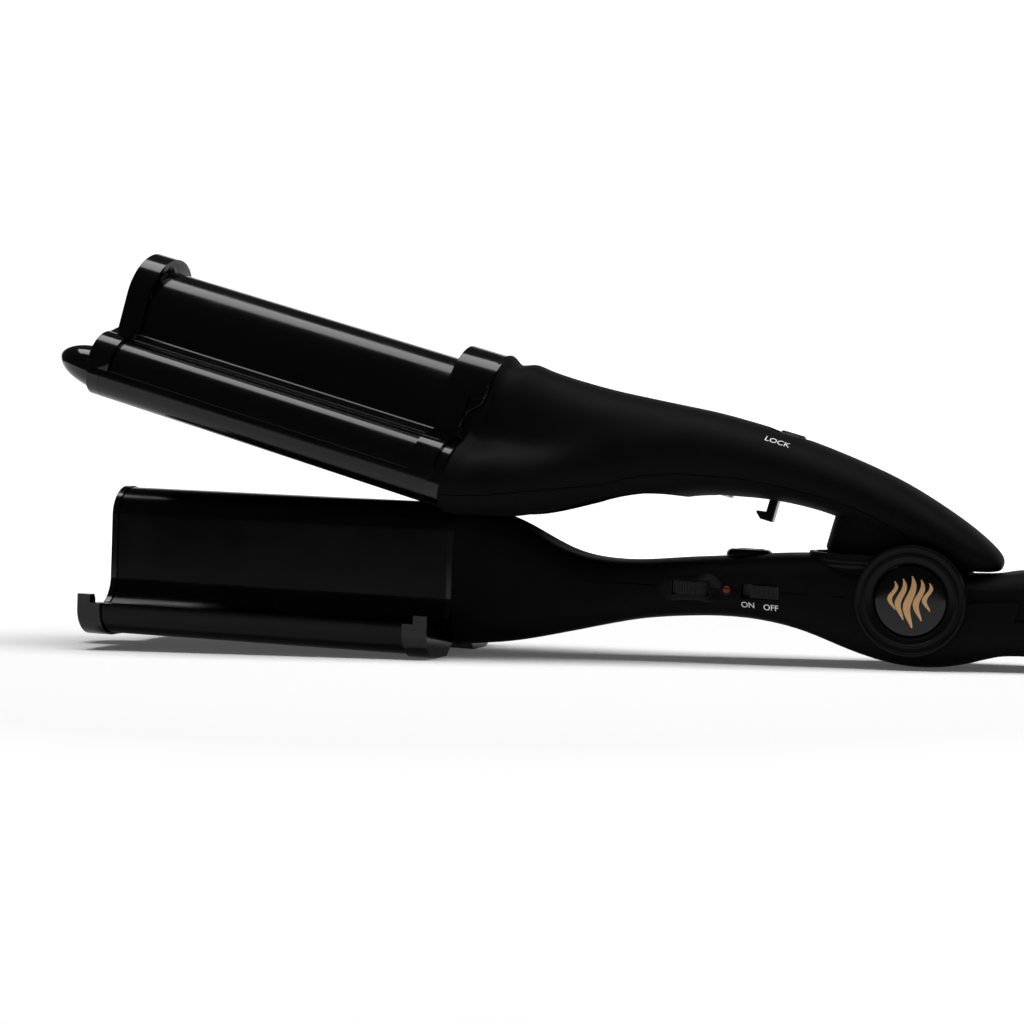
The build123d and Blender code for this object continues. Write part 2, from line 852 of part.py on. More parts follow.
with BuildPart() as neck:
    with BuildSketch(side(upper, -neck_half)):
        with BuildLine():
            Polyline(
                (-neck_front - neck_lean, neck_head),
                (-neck_front, neck_foot),
                (-neck_front + neck_heel_back, neck_heel),
                *neck_back,
                close=True,
            )
        make_face()
    extrude(amount=-2 * neck_half)
    with BuildSketch(level(upper, -far_out)):
        SlotOverall(2 * (neck_front + neck_lean), 2 * neck_half)
    extrude(amount=2 * far_out, mode=Mode.INTERSECT)

with BuildPart() as upper_cover:
    for along in upper_screws:
        with BuildSketch(level(upper, upper_screw_foot[along] - upper_boss_below)):
            with Locations((-along, 0)):
                Circle(boss_radius)
        extrude(amount=upper_boss_height)
    add(upper_solid, mode=Mode.INTERSECT)
    upper_bosses = upper_cover.part
    add(upper_solid)
    add(neck.part)
    with BuildSketch(side(upper, -knuckle_half)):
        Circle(knuckle_radius + 2 * clear)
    extrude(amount=neck_half, mode=Mode.SUBTRACT)
    with BuildSketch(side(upper, knuckle_half)):
        Circle(knuckle_radius + 2 * clear)
    extrude(amount=-neck_half, mode=Mode.SUBTRACT)
    with BuildSketch(side(upper, -knuckle_half)):
        Circle(knuckle_radius)
    extrude(amount=-2 * knuckle_half)
    add(upper_hollow, mode=Mode.SUBTRACT)
    add(upper_channel, mode=Mode.SUBTRACT)
    add(upper_bosses)
    add(upper_below.part, mode=Mode.INTERSECT)
    for along in upper_screws:
        with BuildSketch(level(upper, upper_screw_foot[along])):
            with Locations((-along, 0)):
                Circle(screw_radius + running)
        extrude(amount=far_out, mode=Mode.SUBTRACT)
        with BuildSketch(level(upper, upper_screw_foot[along])):
            with Locations((-along, 0)):
                Circle(screw_head_radius + 2 * running)
        extrude(amount=-far_out, mode=Mode.SUBTRACT)
    with BuildSketch(side(upper, -neck_half)):
        Circle(pin_radius + running)
    extrude(amount=-2 * neck_half, mode=Mode.SUBTRACT)
    with BuildSketch(side(upper, -cheek_inside)):
        Circle(cheek_radius + 2 * clear)
    extrude(amount=far_out, mode=Mode.SUBTRACT)
    with BuildSketch(side(upper, cheek_inside)):
        Circle(cheek_radius + 2 * clear)
    extrude(amount=-far_out, mode=Mode.SUBTRACT)
    with BuildSketch(level(upper, channel_depth)):
        with Locations((-(hook_slot_front + stem_rear) / 2, 0)):
            Rectangle(hook_slot_front - stem_rear, 2 * (hook_half + clear))
    extrude(amount=2 * far_out, mode=Mode.SUBTRACT)
    with BuildSketch(section(upper, upper_rear + relief)):
        with BuildLine():
            wave_line(relief, relief_foot)
            Line((relief_half, relief_foot), (relief_half, channel_depth))
            Line((relief_half, channel_depth), (-relief_half, channel_depth))
            Line((-relief_half, channel_depth), (-relief_half, relief_foot))
        make_face()
    extrude(amount=upper_rear + relief - lower_rear + relief_over, mode=Mode.SUBTRACT)
    add(upper_rear_cap.part, mode=Mode.SUBTRACT)
finish_node(upper_cover.part, "upper_handle_cover")

# ==== lower arm ===================================================================================
lower_screws = (lower_screw_front, lower_screw_rear, -tail_screw)
lower_screw_foot = {lower_screw_front: -8.6, lower_screw_rear: -6.2, -tail_screw: -11.0}
cover_boss_top = {lower_screw_front: 6.0, lower_screw_rear: catch_seat, -tail_screw: 7.8}
housing_boss_top = {lower_screw_front: 0.0, lower_screw_rear: 0.0, -tail_screw: tail_seam}

with BuildPart() as above_split:
    with BuildSketch(side(lower, -far_out)):
        with BuildLine():
            Polyline(
                (-cover_front, far_out),
                (-cover_front, 0.0),
                (cheek_radius, 0.0),
                (tail_step, tail_ledge),
                (tail_step + tail_hook, tail_ledge - tail_hook),
                (tail_step - tail_hook, tail_seam),
                (far_out, tail_seam),
                (far_out, far_out),
                close=True,
            )
        make_face()
        Circle(cheek_radius + clear, mode=Mode.SUBTRACT)
    extrude(amount=-2 * far_out)

well_length = well_front + well_rear
well_along = (well_front - well_rear) / 2
collar_end = 2 * well_rear
collar_length = collar_front + collar_end
collar_along = (collar_front - collar_end) / 2

# The space that both halves of the housing leave for what is inside them.
with BuildPart() as lower_room:
    with BuildSketch(level(lower, well_floor)):
        with Locations((-well_along, 0)):
            SlotOverall(well_length, 2 * well_half)
    extrude(amount=far_out)
    for face in (-1, 1):
        with BuildSketch(side(lower, face * disc_seat)):
            Circle(disc_radius + running)
        extrude(amount=-face * far_out)
    with BuildSketch(side(lower, -far_out)):
        Circle(pin_radius)
    extrude(amount=-2 * far_out)
    with BuildSketch(section(lower, -tail_length + 2 * tail_wall)):
        with Locations((0, gland_height)):
            Circle(gland_radius + running)
    extrude(amount=far_out)
    with BuildSketch(side(lower, -far_out)):
        with Locations((-switch_along, switch_height)):
            Rectangle(switch_slot_length, switch_slot_height)
    extrude(amount=-far_out + switch_front_face - switch_chamfer)
    with BuildSketch(side(lower, -far_out)):
        with Locations((-dial_along, dial_height)):
            Rectangle(dial_slot_length, dial_slot_height)
    extrude(amount=-far_out + slot_floor)
    with BuildSketch(side(lower, -far_out)):
        with Locations((-lamp_along, lamp_height)):
            Circle(lamp_radius)
    extrude(amount=-far_out + slot_floor)
    with BuildSketch(level(lower, dial_height - dial_slot_height / 2)):
        with Locations((-dial_along, -dial_face + dial_radius)):
            Circle(dial_radius + dial_room)
    extrude(amount=dial_slot_height)
    with BuildSketch(side(lower, -flank + dish_depth)):
        with Locations((-dial_along, dial_height)):
            Ellipse(dish_length / 2 - dish_depth, dish_height / 2 - dish_depth)
    with BuildSketch(side(lower, -flank - dish_flare)):
        with Locations((-dial_along, dial_height)):
            Ellipse(dish_length / 2 + dish_flare, dish_height / 2 + dish_flare)
    loft()

with BuildPart() as housing:
    add(lower_solid)
    add(lower_hollow, mode=Mode.SUBTRACT)
    for along in lower_screws:
        with BuildSketch(level(lower, lower_screw_foot[along] - lower_boss_below)):
            with Locations((-along, 0)):
                Circle(boss_radius)
        extrude(amount=housing_boss_top[along] - lower_screw_foot[along] + lower_boss_below)
    for along in (board_front - board_rib_inset, board_rear + board_rib_inset):
        with BuildSketch(section(lower, along + board_rib / 2)):
            with Locations((0, board_height - far_out / 2)):
                Rectangle(2 * board_half, far_out)
        extrude(amount=board_rib)
    with BuildSketch(section(lower, -tail_length + tail_wall)):
        with Locations((0, gland_height)):
            Rectangle(far_out, far_out)
    extrude(amount=tail_wall)
    add(lower_solid, mode=Mode.INTERSECT)
    add(above_split.part, mode=Mode.SUBTRACT)
    for face in (-1, 1):
        with BuildSketch(side(lower, face * well_half)):
            Circle(cheek_radius)
        extrude(amount=-face * (cheek_half - well_half))
    add(lower_room.part, mode=Mode.SUBTRACT)
    for along in lower_screws:
        with BuildSketch(level(lower, lower_screw_foot[along])):
            with Locations((-along, 0)):
                Circle(screw_radius + running)
        extrude(amount=far_out, mode=Mode.SUBTRACT)
        with BuildSketch(level(lower, lower_screw_foot[along])):
            with Locations((-along, 0)):
                Circle(screw_head_radius + 2 * running)
        extrude(amount=-far_out, mode=Mode.SUBTRACT)
finish_node(housing.part, "lower_housing")

with BuildPart() as covers:
    add(lower_solid)
    add(lower_hollow, mode=Mode.SUBTRACT)
    for along in lower_screws:
        with BuildSketch(level(lower, housing_boss_top[along])):
            with Locations((-along, 0)):
                Circle(boss_radius)
        extrude(amount=cover_boss_top[along] - housing_boss_top[along])
    with BuildSketch(level(lower, catch_seat - arm_wall)):
        with Locations((-(catch_front + catch_rear) / 2, 0)):
            SlotOverall(catch_front - catch_rear + 2 * arm_wall, 2 * (catch_half + arm_wall))
    extrude(amount=2 * arm_wall)
    with BuildSketch(section(lower, -tail_length + tail_wall)):
        with Locations((0, gland_height)):
            Rectangle(far_out, far_out)
    extrude(amount=tail_wall)
    add(lower_solid, mode=Mode.INTERSECT)
    with BuildSketch(level(lower, collar_foot)):
        with Locations((-collar_along, 0)):
            SlotOverall(collar_length, 2 * collar_half)
        with Locations((far_out - collar_rear, 0)):
            Rectangle(2 * far_out, 2 * far_out, mode=Mode.SUBTRACT)
    extrude(amount=collar_top - collar_foot)
    with BuildSketch(level(lower, skirt_foot)):
        with Locations((-well_along, 0)):
            SlotOverall(well_length + 2 * (skirt_half - well_half), 2 * skirt_half)
        with Locations((far_out - collar_rear, 0)):
            Rectangle(2 * far_out, 2 * far_out, mode=Mode.SUBTRACT)
    extrude(amount=collar_foot - skirt_foot)
    for face in (-1, 1):
        with BuildSketch(level(lower, -far_out)):
            with Locations((far_out + tail_cut, face * (far_out + tail_cover_half))):
                Rectangle(2 * far_out, 2 * far_out)
        extrude(amount=2 * far_out, mode=Mode.SUBTRACT)
    add(above_split.part, mode=Mode.INTERSECT)
    add(lower_room.part, mode=Mode.SUBTRACT)
    for along in lower_screws:
        with BuildSketch(level(lower, lower_screw_foot[along])):
            with Locations((-along, 0)):
                Circle(screw_radius)
        extrude(amount=cover_boss_top[along] - lower_screw_foot[along] - hole_end_gap, mode=Mode.SUBTRACT)
    with BuildSketch(level(lower, catch_seat)):
        with Locations((-(catch_front + catch_rear) / 2, 0)):
            SlotOverall(catch_front - catch_rear, 2 * catch_half)
    extrude(amount=far_out, mode=Mode.SUBTRACT)

top_cover, tail_cover = covers.part.solids().sort_by(Axis.X)
finish_node(top_cover, "lower_top_cover")
finish_node(tail_cover, "tail_cover")

# ==== hinge =======================================================================================
pin_half = disc_seat - pin_end_gap
with BuildPart() as hinge_pin:
    with BuildSketch(side(lower, -pin_half)):
        Circle(pin_radius)
    extrude(amount=-2 * pin_half)
finish_node(hinge_pin.part, "hinge_pin")

for face, place in ((-1, "near"), (1, "far")):
    with BuildPart() as hinge_ring:
        with BuildSketch(side(lower, face * cheek_half)):
            Circle(ring_radius)
            Circle(ring_bore, mode=Mode.SUBTRACT)
        extrude(amount=-face * (ring_face - cheek_half - ring_groove))
        with BuildSketch(side(lower, face * cheek_half)):
            Circle(ring_radius - ring_round)
            Circle(ring_radius - ring_rim, mode=Mode.SUBTRACT)
            Circle(ring_step_radius - ring_land)
            Circle(ring_bore, mode=Mode.SUBTRACT)
        extrude(amount=-face * (ring_face - cheek_half))
    finish_node(hinge_ring.part, f"hinge_ring_{place}")
    with BuildPart() as hinge_disc:
        with BuildSketch(side(lower, face * disc_seat)):
            Circle(disc_radius)
        extrude(amount=-face * (disc_face - disc_seat))
        chamfer(hinge_disc.edges().group_by(Axis.Y)[-1 if face > 0 else 0], disc_chamfer)
    finish_node(hinge_disc.part, f"hinge_disc_{place}")

spring_start = knuckle_half + spring_wire + clear
with BuildPart() as return_spring:
    with BuildLine() as coil:
        Helix(
            spring_pitch,
            spring_pitch * spring_turns,
            spring_radius,
            center=side(lower, spring_start).origin,
            direction=(0, 1, 0),
        )
    with BuildSketch(Plane(coil.line @ 0, z_dir=coil.line % 0)):
        Circle(spring_wire)
    sweep(path=coil.line)
finish_node(return_spring.part, "return_spring")

# ==== controls ====================================================================================
board_top = board_height + board_depth
with BuildPart() as board:
    with BuildSketch(level(lower, board_height)):
        with Locations((-(board_front + board_rear) / 2, 0)):
            Rectangle(board_front - board_rear, 2 * board_half)
        for along in (lower_screw_front, lower_screw_rear):
            with Locations((-along, 0)):
                Circle(boss_radius + clear, mode=Mode.SUBTRACT)
    extrude(amount=board_depth)
finish_node(board.part, "control_board")

dial_middle = -dial_face + dial_radius
dial_foot = dial_height - dial_depth / 2
with BuildPart() as dial_base:
    with BuildSketch(level(lower, board_top)):
        with Locations((-dial_along, dial_middle)):
            Rectangle(dial_body, dial_body)
    extrude(amount=dial_foot - clear - board_top)
    with BuildSketch(level(lower, board_top)):
        with Locations((-dial_along, dial_middle)):
            Circle(dial_hub)
    extrude(amount=dial_foot + dial_depth - dial_cap - board_top)
finish_node(dial_base.part, "dial_potentiometer")

with BuildPart() as dial:
    with BuildSketch(level(lower, dial_foot)):
        with Locations((-dial_along, dial_middle)):
            Circle(dial_radius)
    extrude(amount=dial_depth)
    chamfer(dial.edges(), dial_chamfer)
    with BuildSketch(level(lower, dial_foot)):
        with Locations((-dial_along, dial_middle)):
            Circle(dial_hub + running)
    extrude(amount=dial_depth - dial_cap + clear, mode=Mode.SUBTRACT)
finish_node(dial.part, "temperature_dial")

with BuildPart() as switch_body:
    with BuildSketch(side(lower, -switch_front_face)):
        with Locations((-switch_along, (switch_foot + switch_head) / 2)):
            Rectangle(switch_slot_length + 2 * switch_body_over, switch_head - switch_foot)
    extrude(amount=-switch_depth)
finish_node(switch_body.part, "switch_body")

with BuildPart() as switch_knob:
    with BuildSketch(side(lower, -switch_face)):
        with Locations((-switch_along + switch_travel / 2, switch_height)):
            Rectangle(switch_knob_length, switch_knob_height)
    extrude(amount=-(switch_face - switch_front_face - 2 * running))
    chamfer(switch_knob.faces().sort_by(Axis.Y)[0].edges(), switch_chamfer)
finish_node(switch_knob.part, "switch_knob")

with BuildPart() as lamp:
    with BuildSketch(side(lower, -lamp_face)):
        with Locations((-lamp_along, lamp_height)):
            Circle(lamp_radius)
    extrude(amount=-(lamp_face - lamp_foot))
finish_node(lamp.part, "indicator_lens")

# ==== catch =======================================================================================
catch_pocket_front = catch_front - catch_wall
with BuildPart() as catch:
    with BuildSketch(level(lower, catch_seat)):
        with Locations((-(catch_front + catch_rear) / 2, 0)):
            SlotOverall(catch_front - catch_rear, 2 * catch_half)
    extrude(amount=catch_top - catch_seat)
    fillet(catch.edges().group_by(Axis(lower.origin, lower.z_dir))[-1], catch_round)
    with BuildSketch(level(lower, catch_top)):
        with Locations((-(catch_slot_front + catch_slot_rear) / 2, 0)):
            Rectangle(catch_slot_front - catch_slot_rear, 2 * catch_slot_half)
    extrude(amount=-(catch_top - hook_foot + catch_deep), mode=Mode.SUBTRACT)
    with BuildSketch(level(lower, catch_top - catch_lip)):
        with Locations((-(catch_pocket_front + catch_slot_rear) / 2, 0)):
            Rectangle(catch_pocket_front - catch_slot_rear, 2 * catch_slot_half)
    extrude(amount=-(catch_top - catch_lip - hook_foot + catch_deep), mode=Mode.SUBTRACT)
finish_node(catch.part, "lock_catch")

# ==== cord outlet =================================================================================
wall_inside = -tail_length + tail_wall
with BuildPart() as gland:
    with BuildSketch(section(lower, wall_inside + gland_flange)):
        with Locations((0, gland_height)):
            Circle(gland_flange_radius)
    extrude(amount=gland_flange - running)
    with BuildSketch(section(lower, wall_inside + gland_flange)):
        with Locations((0, gland_height)):
            Circle(gland_radius)
    extrude(amount=gland_flange + tail_wall + gland_shoulder)
    with BuildSketch(section(lower, -tail_length - running)):
        with Locations((0, gland_height)):
            Circle(gland_shoulder_radius)
    extrude(amount=gland_shoulder)
    with BuildSketch(section(lower, -tail_length - gland_shoulder)):
        with Locations((0, gland_height)):
            Circle(gland_radius)
    with BuildSketch(section(lower, -cord_end)):
        with Locations((0, gland_height)):
            Circle(gland_mouth_radius)
    loft()
    with BuildSketch(section(lower, wall_inside + 2 * gland_flange)):
        with Locations((0, gland_height)):
            Circle(gland_bore)
    extrude(amount=far_out, mode=Mode.SUBTRACT)
finish_node(gland.part, "cord_gland")

# ==== screws ======================================================================================
for number, along in enumerate(lower_screws):
    with BuildPart() as screw:
        with BuildSketch(level(lower, lower_screw_foot[along])):
            with Locations((-along, 0)):
                Circle(screw_head_radius)
        extrude(amount=-screw_head)
        with BuildSketch(level(lower, lower_screw_foot[along])):
            with Locations((-along, 0)):
                Circle(screw_radius)
        extrude(amount=cover_boss_top[along] - lower_screw_foot[along] - screw_end_gap)
    finish_node(screw.part, f"lower_screw_{number + 1}")

for number, along in enumerate(upper_screws):
    with BuildPart() as screw:
        with BuildSketch(level(upper, upper_screw_foot[along])):
            with Locations((-along, 0)):
                Circle(screw_head_radius)
        extrude(amount=-screw_head)
        with BuildSketch(level(upper, upper_screw_foot[along])):
            with Locations((-along, 0)):
                Circle(screw_radius)
        extrude(amount=upper_screw_length)
    finish_node(screw.part, f"upper_screw_{number + 1}")
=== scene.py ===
import json
from math import cos, pi, radians, sin

import bmesh
import bpy
from mathutils import Matrix, Vector


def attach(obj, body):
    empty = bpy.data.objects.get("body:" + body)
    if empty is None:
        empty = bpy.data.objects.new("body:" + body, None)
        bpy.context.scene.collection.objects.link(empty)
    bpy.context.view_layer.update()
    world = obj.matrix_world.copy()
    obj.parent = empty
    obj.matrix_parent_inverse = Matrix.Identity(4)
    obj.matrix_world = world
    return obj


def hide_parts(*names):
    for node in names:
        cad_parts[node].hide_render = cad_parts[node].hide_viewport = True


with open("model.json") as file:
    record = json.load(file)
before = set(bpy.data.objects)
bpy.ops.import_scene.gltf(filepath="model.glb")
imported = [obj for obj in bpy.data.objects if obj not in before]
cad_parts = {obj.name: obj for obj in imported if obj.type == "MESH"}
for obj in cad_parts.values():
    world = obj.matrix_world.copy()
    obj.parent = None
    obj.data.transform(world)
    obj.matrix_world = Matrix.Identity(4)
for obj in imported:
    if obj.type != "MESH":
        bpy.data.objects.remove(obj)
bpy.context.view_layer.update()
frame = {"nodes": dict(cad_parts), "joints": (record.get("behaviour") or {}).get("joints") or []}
nodes = frame["nodes"]
joints = {joint["name"]: joint for joint in frame["joints"]}

# ==== paper, soft box and studio ==================================================================
# A white paper sweep lies under the waver and rises behind it. It ends a little way in front, so
# the polished sides look out on an unlit room, and it is blown out to white away from the waver.
bpy.ops.object.select_all(action="DESELECT")
bpy.ops.mesh.primitive_grid_add(x_subdivisions=2, y_subdivisions=80, size=1)
sweep = bpy.context.object
sweep.name = "paper_sweep"
sweep_width = 7.0
sweep_front = -0.43
sweep_bend = 1.3
bend_radius = 0.9
bend_end = bend_radius * pi / 2
sweep_top = 0.5
sweep_length = sweep_bend - sweep_front + bend_end + sweep_top
for vertex in sweep.data.vertices:
    run = sweep_front + (vertex.co.y + 0.5) * sweep_length - sweep_bend
    turn = min(max(run, 0) / bend_radius, pi / 2)
    vertex.co.x *= sweep_width
    vertex.co.y = sweep_bend + min(run, 0) + bend_radius * sin(turn)
    vertex.co.z = bend_radius * (1 - cos(turn)) + max(run - bend_end, 0)
bpy.ops.object.shade_smooth()

paper = bpy.data.materials.new("white paper")
paper.use_nodes = True
tree = paper.node_tree
shader = tree.nodes["Principled BSDF"]
shader.inputs["Base Color"].default_value = (0.88, 0.88, 0.885, 1)
shader.inputs["Roughness"].default_value = 0.95
shader.inputs["Specular IOR Level"].default_value = 0.05
seen = tree.nodes.new("ShaderNodeLightPath")
direct = tree.nodes.new("ShaderNodeMath")
direct.operation = "MAXIMUM"
tree.links.new(seen.outputs["Is Camera Ray"], direct.inputs[0])
tree.links.new(seen.outputs["Is Transmission Ray"], direct.inputs[1])
mirrored = tree.nodes.new("ShaderNodeMath")
mirrored.operation = "MAXIMUM"
tree.links.new(direct.outputs["Value"], mirrored.inputs[0])
tree.links.new(seen.outputs["Is Glossy Ray"], mirrored.inputs[1])
spot = tree.nodes.new("ShaderNodeTexCoord")
reach = tree.nodes.new("ShaderNodeVectorMath")
reach.operation = "LENGTH"
tree.links.new(spot.outputs["Object"], reach.inputs[0])
fade = tree.nodes.new("ShaderNodeMapRange")
fade.inputs["From Min"].default_value = 0.22
fade.inputs["From Max"].default_value = 0.8
fade.inputs["To Min"].default_value = 0.07
fade.inputs["To Max"].default_value = 1.0
tree.links.new(reach.outputs["Value"], fade.inputs["Value"])
glow = tree.nodes.new("ShaderNodeMath")
glow.operation = "MULTIPLY"
tree.links.new(fade.outputs["Result"], glow.inputs[0])
tree.links.new(mirrored.outputs["Value"], glow.inputs[1])
shader.inputs["Emission Color"].default_value = (1, 1, 1, 1)
tree.links.new(glow.outputs["Value"], shader.inputs["Emission Strength"])
sweep.data.materials.append(paper)

world = bpy.data.worlds.new("studio")
bpy.context.scene.world = world
world.use_nodes = True
tree = world.node_tree
tree.nodes.clear()
room = tree.nodes.new("ShaderNodeBackground")
room.inputs["Color"].default_value = (1, 1, 1, 1)
room.inputs["Strength"].default_value = 0.06
white = tree.nodes.new("ShaderNodeBackground")
white.inputs["Color"].default_value = (1, 1, 1, 1)
white.inputs["Strength"].default_value = 1.0
seen = tree.nodes.new("ShaderNodeLightPath")
choice = tree.nodes.new("ShaderNodeMixShader")
tree.links.new(seen.outputs["Is Camera Ray"], choice.inputs["Fac"])
tree.links.new(room.outputs["Background"], choice.inputs[1])
tree.links.new(white.outputs["Background"], choice.inputs[2])
end = tree.nodes.new("ShaderNodeOutputWorld")
tree.links.new(choice.outputs["Shader"], end.inputs["Surface"])


def soft_box(name, place, aim, width, height, power):
    """A studio soft box that faces the waver."""
    bpy.ops.object.light_add(type="AREA", location=place)
    lamp = bpy.context.object
    lamp.name = name
    lamp.data.shape = "RECTANGLE"
    lamp.data.size = width
    lamp.data.size_y = height
    lamp.data.energy = power
    lamp.rotation_euler = (Vector(aim) - Vector(place)).to_track_quat("-Z", "Y").to_euler()


soft_box("overhead", (0.0, 0.01, 1.15), (0, 0, 0.05), 1.7, 0.5, 18)

# ==== lower jaw ===================================================================================
# The plate is one coated aluminium pressing: a tall centre barrel between two troughs. Its cover is
# a moulded tray that clips under the lips of the troughs, with a long groove down the middle.
hinge = Vector(joints["jaw_hinge"]["pos_m"])


def arm_place(towards_tips):
    """The place of an arm drawn in millimetres: X to the cord end, Y across, Z up through the arm."""
    run = -Vector(towards_tips)
    across = Vector((0, 1, 0))
    turn = Matrix((run, across, run.cross(across))).transposed().to_4x4()
    return Matrix.Translation(hinge) @ turn @ Matrix.Scale(0.001, 4)


lower_arm = arm_place(joints["switch_slide"]["axis"])
upper_arm = arm_place(joints["lock_slide"]["axis"])


def finish(name, colour, roughness, specular, grain=0.0, grain_scale=2500, patch=0.03, metallic=0.0):
    """A finish with a fine grain in its bump, and slow patches in its tone and its gloss."""
    material = bpy.data.materials.new(name)
    material.use_nodes = True
    tree = material.node_tree
    shader = tree.nodes["Principled BSDF"]
    shader.inputs["Specular IOR Level"].default_value = specular
    shader.inputs["Metallic"].default_value = metallic
    place = tree.nodes.new("ShaderNodeTexCoord")
    cloud = tree.nodes.new("ShaderNodeTexNoise")
    cloud.inputs["Scale"].default_value = 60
    cloud.inputs["Detail"].default_value = 4
    tree.links.new(place.outputs["Object"], cloud.inputs["Vector"])
    tone = tree.nodes.new("ShaderNodeValToRGB")
    tone.color_ramp.elements[0].position = 0.35
    tone.color_ramp.elements[1].position = 0.65
    tone.color_ramp.elements[0].color = [0.88 * c for c in colour] + [1]
    tone.color_ramp.elements[1].color = [1.12 * c for c in colour] + [1]
    tree.links.new(cloud.outputs["Fac"], tone.inputs["Fac"])
    tree.links.new(tone.outputs["Color"], shader.inputs["Base Color"])
    gloss = tree.nodes.new("ShaderNodeMapRange")
    gloss.inputs["From Min"].default_value = 0.3
    gloss.inputs["From Max"].default_value = 0.7
    gloss.inputs["To Min"].default_value = roughness - patch
    gloss.inputs["To Max"].default_value = roughness + patch
    tree.links.new(cloud.outputs["Fac"], gloss.inputs["Value"])
    tree.links.new(gloss.outputs["Result"], shader.inputs["Roughness"])
    if grain:
        speck = tree.nodes.new("ShaderNodeTexNoise")
        speck.inputs["Scale"].default_value = grain_scale
        speck.inputs["Detail"].default_value = 2
        tree.links.new(place.outputs["Object"], speck.inputs["Vector"])
        bump = tree.nodes.new("ShaderNodeBump")
        bump.inputs["Strength"].default_value = 0.6
        bump.inputs["Distance"].default_value = grain / 1000
        tree.links.new(speck.outputs["Fac"], bump.inputs["Height"])
        tree.links.new(bump.outputs["Normal"], shader.inputs["Normal"])
    return material


coated_plate = finish("coated plate", (0.0016, 0.0016, 0.0017), 0.16, 0.26, 0.006, 1800)
polished_black = finish("polished black", (0.0016, 0.0016, 0.0017), 0.12, 0.29, 0.002, 900, 0.04)


def dress(node, material):
    """Give a carried-over piece its finish."""
    nodes[node].data.materials.clear()
    nodes[node].data.materials.append(material)


def alone(piece):
    """Make a piece the only one that an operator acts on."""
    bpy.ops.object.select_all(action="DESELECT")
    piece.select_set(True)
    bpy.context.view_layer.objects.active = piece


def settle(piece, name, arm, body, material, *replaced):
    """Put a finished piece in its arm's place, where it rides on a body."""
    alone(piece)
    piece.name = name
    piece.data.name = name
    bpy.ops.object.transform_apply(location=True, rotation=True, scale=True)
    piece.data.transform(arm)
    piece.data.materials.clear()
    piece.data.materials.append(material)
    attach(piece, body)
    if replaced:
        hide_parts(*replaced)


def sharp(edge, least=radians(28)):
    """Whether an edge is a corner of the moulding."""
    return len(edge.link_faces) == 2 and edge.calc_face_angle(0) > least


def worked_copy(node, arm):
    """A merged copy of a carried-over piece, in the arm's millimetres, ready for edit mode."""
    mesh = nodes[node].data.copy()
    mesh.transform(arm.inverted())
    piece = bpy.data.objects.new(node + "_worked", mesh)
    bpy.context.scene.collection.objects.link(piece)
    alone(piece)
    bpy.ops.object.mode_set(mode="EDIT")
    bpy.ops.mesh.customdata_custom_splitnormals_clear()
    bpy.ops.mesh.select_all(action="SELECT")
    bpy.ops.mesh.remove_doubles(threshold=0.004)
    bpy.ops.mesh.dissolve_limited(angle_limit=radians(0.6))
    bpy.ops.mesh.normals_make_consistent(inside=False)
    bpy.ops.object.mode_set(mode="OBJECT")
    return piece


def round_corners(piece, width, segments=3, chosen=None):
    """Round the sharp corners of a piece, or only those that chosen picks by their two ends."""
    alone(piece)
    bpy.ops.object.mode_set(mode="EDIT")
    bpy.ops.mesh.select_mode(type="EDGE")
    bpy.ops.mesh.select_all(action="DESELECT")
    shape = bmesh.from_edit_mesh(piece.data)
    for edge in shape.edges:
        ends = [vertex.co for vertex in edge.verts]
        edge.select_set(sharp(edge) and (chosen is None or chosen(*ends)))
    bmesh.update_edit_mesh(piece.data)
    bpy.ops.mesh.bevel(offset=width, segments=segments, profile=0.5, clamp_overlap=True)
    bpy.ops.object.mode_set(mode="OBJECT")


def smooth_flats(piece, angle=35):
    """Shade a piece smooth, with its flats kept flat."""
    alone(piece)
    bpy.ops.object.shade_smooth_by_angle(angle=radians(angle))
    even = piece.modifiers.new("even", "WEIGHTED_NORMAL")
    even.keep_sharp = True
    bpy.ops.object.modifier_apply(modifier=even.name)


worn_plate = finish("worn plate", (0.0019, 0.0019, 0.0020), 0.2, 0.11, 0.006, 1800, 0.05)
for node, width in (("lower_heating_plate", 0.25), ("lower_jaw_cover", 0.45)):
    jaw_piece = worked_copy(node, lower_arm)
    round_corners(jaw_piece, width, 2)
    smooth_flats(jaw_piece)
    settle(jaw_piece, node + "_dressed", lower_arm, "lower_arm", worn_plate, node)

# ==== end caps of the lower jaw ===================================================================
# Polished mouldings that close the pressing at both ends. Each has a band round the tray and a
# stepped block over each lip, and their rims are rounded off.
for node in ("lower_tip_cap", "lower_rear_cap"):
    cap = worked_copy(node, lower_arm)
    round_corners(cap, 0.55)
    smooth_flats(cap)
    settle(cap, node + "_dressed", lower_arm, "lower_arm", polished_black, node)
dress("lower_cool_tip", polished_black)

# ==== upper jaw ===================================================================================
# The wave's counterpart is coated too. Its cover is a bright dome between two shoulders, with a
# coved foot and two fine ridges along each valley.
for node in ("upper_heating_plate", "upper_jaw_cover"):
    jaw_piece = worked_copy(node, upper_arm)
    round_corners(jaw_piece, 0.2, 2)
    smooth_flats(jaw_piece)
    settle(jaw_piece, node + "_dressed", upper_arm, "upper_arm", coated_plate, node)


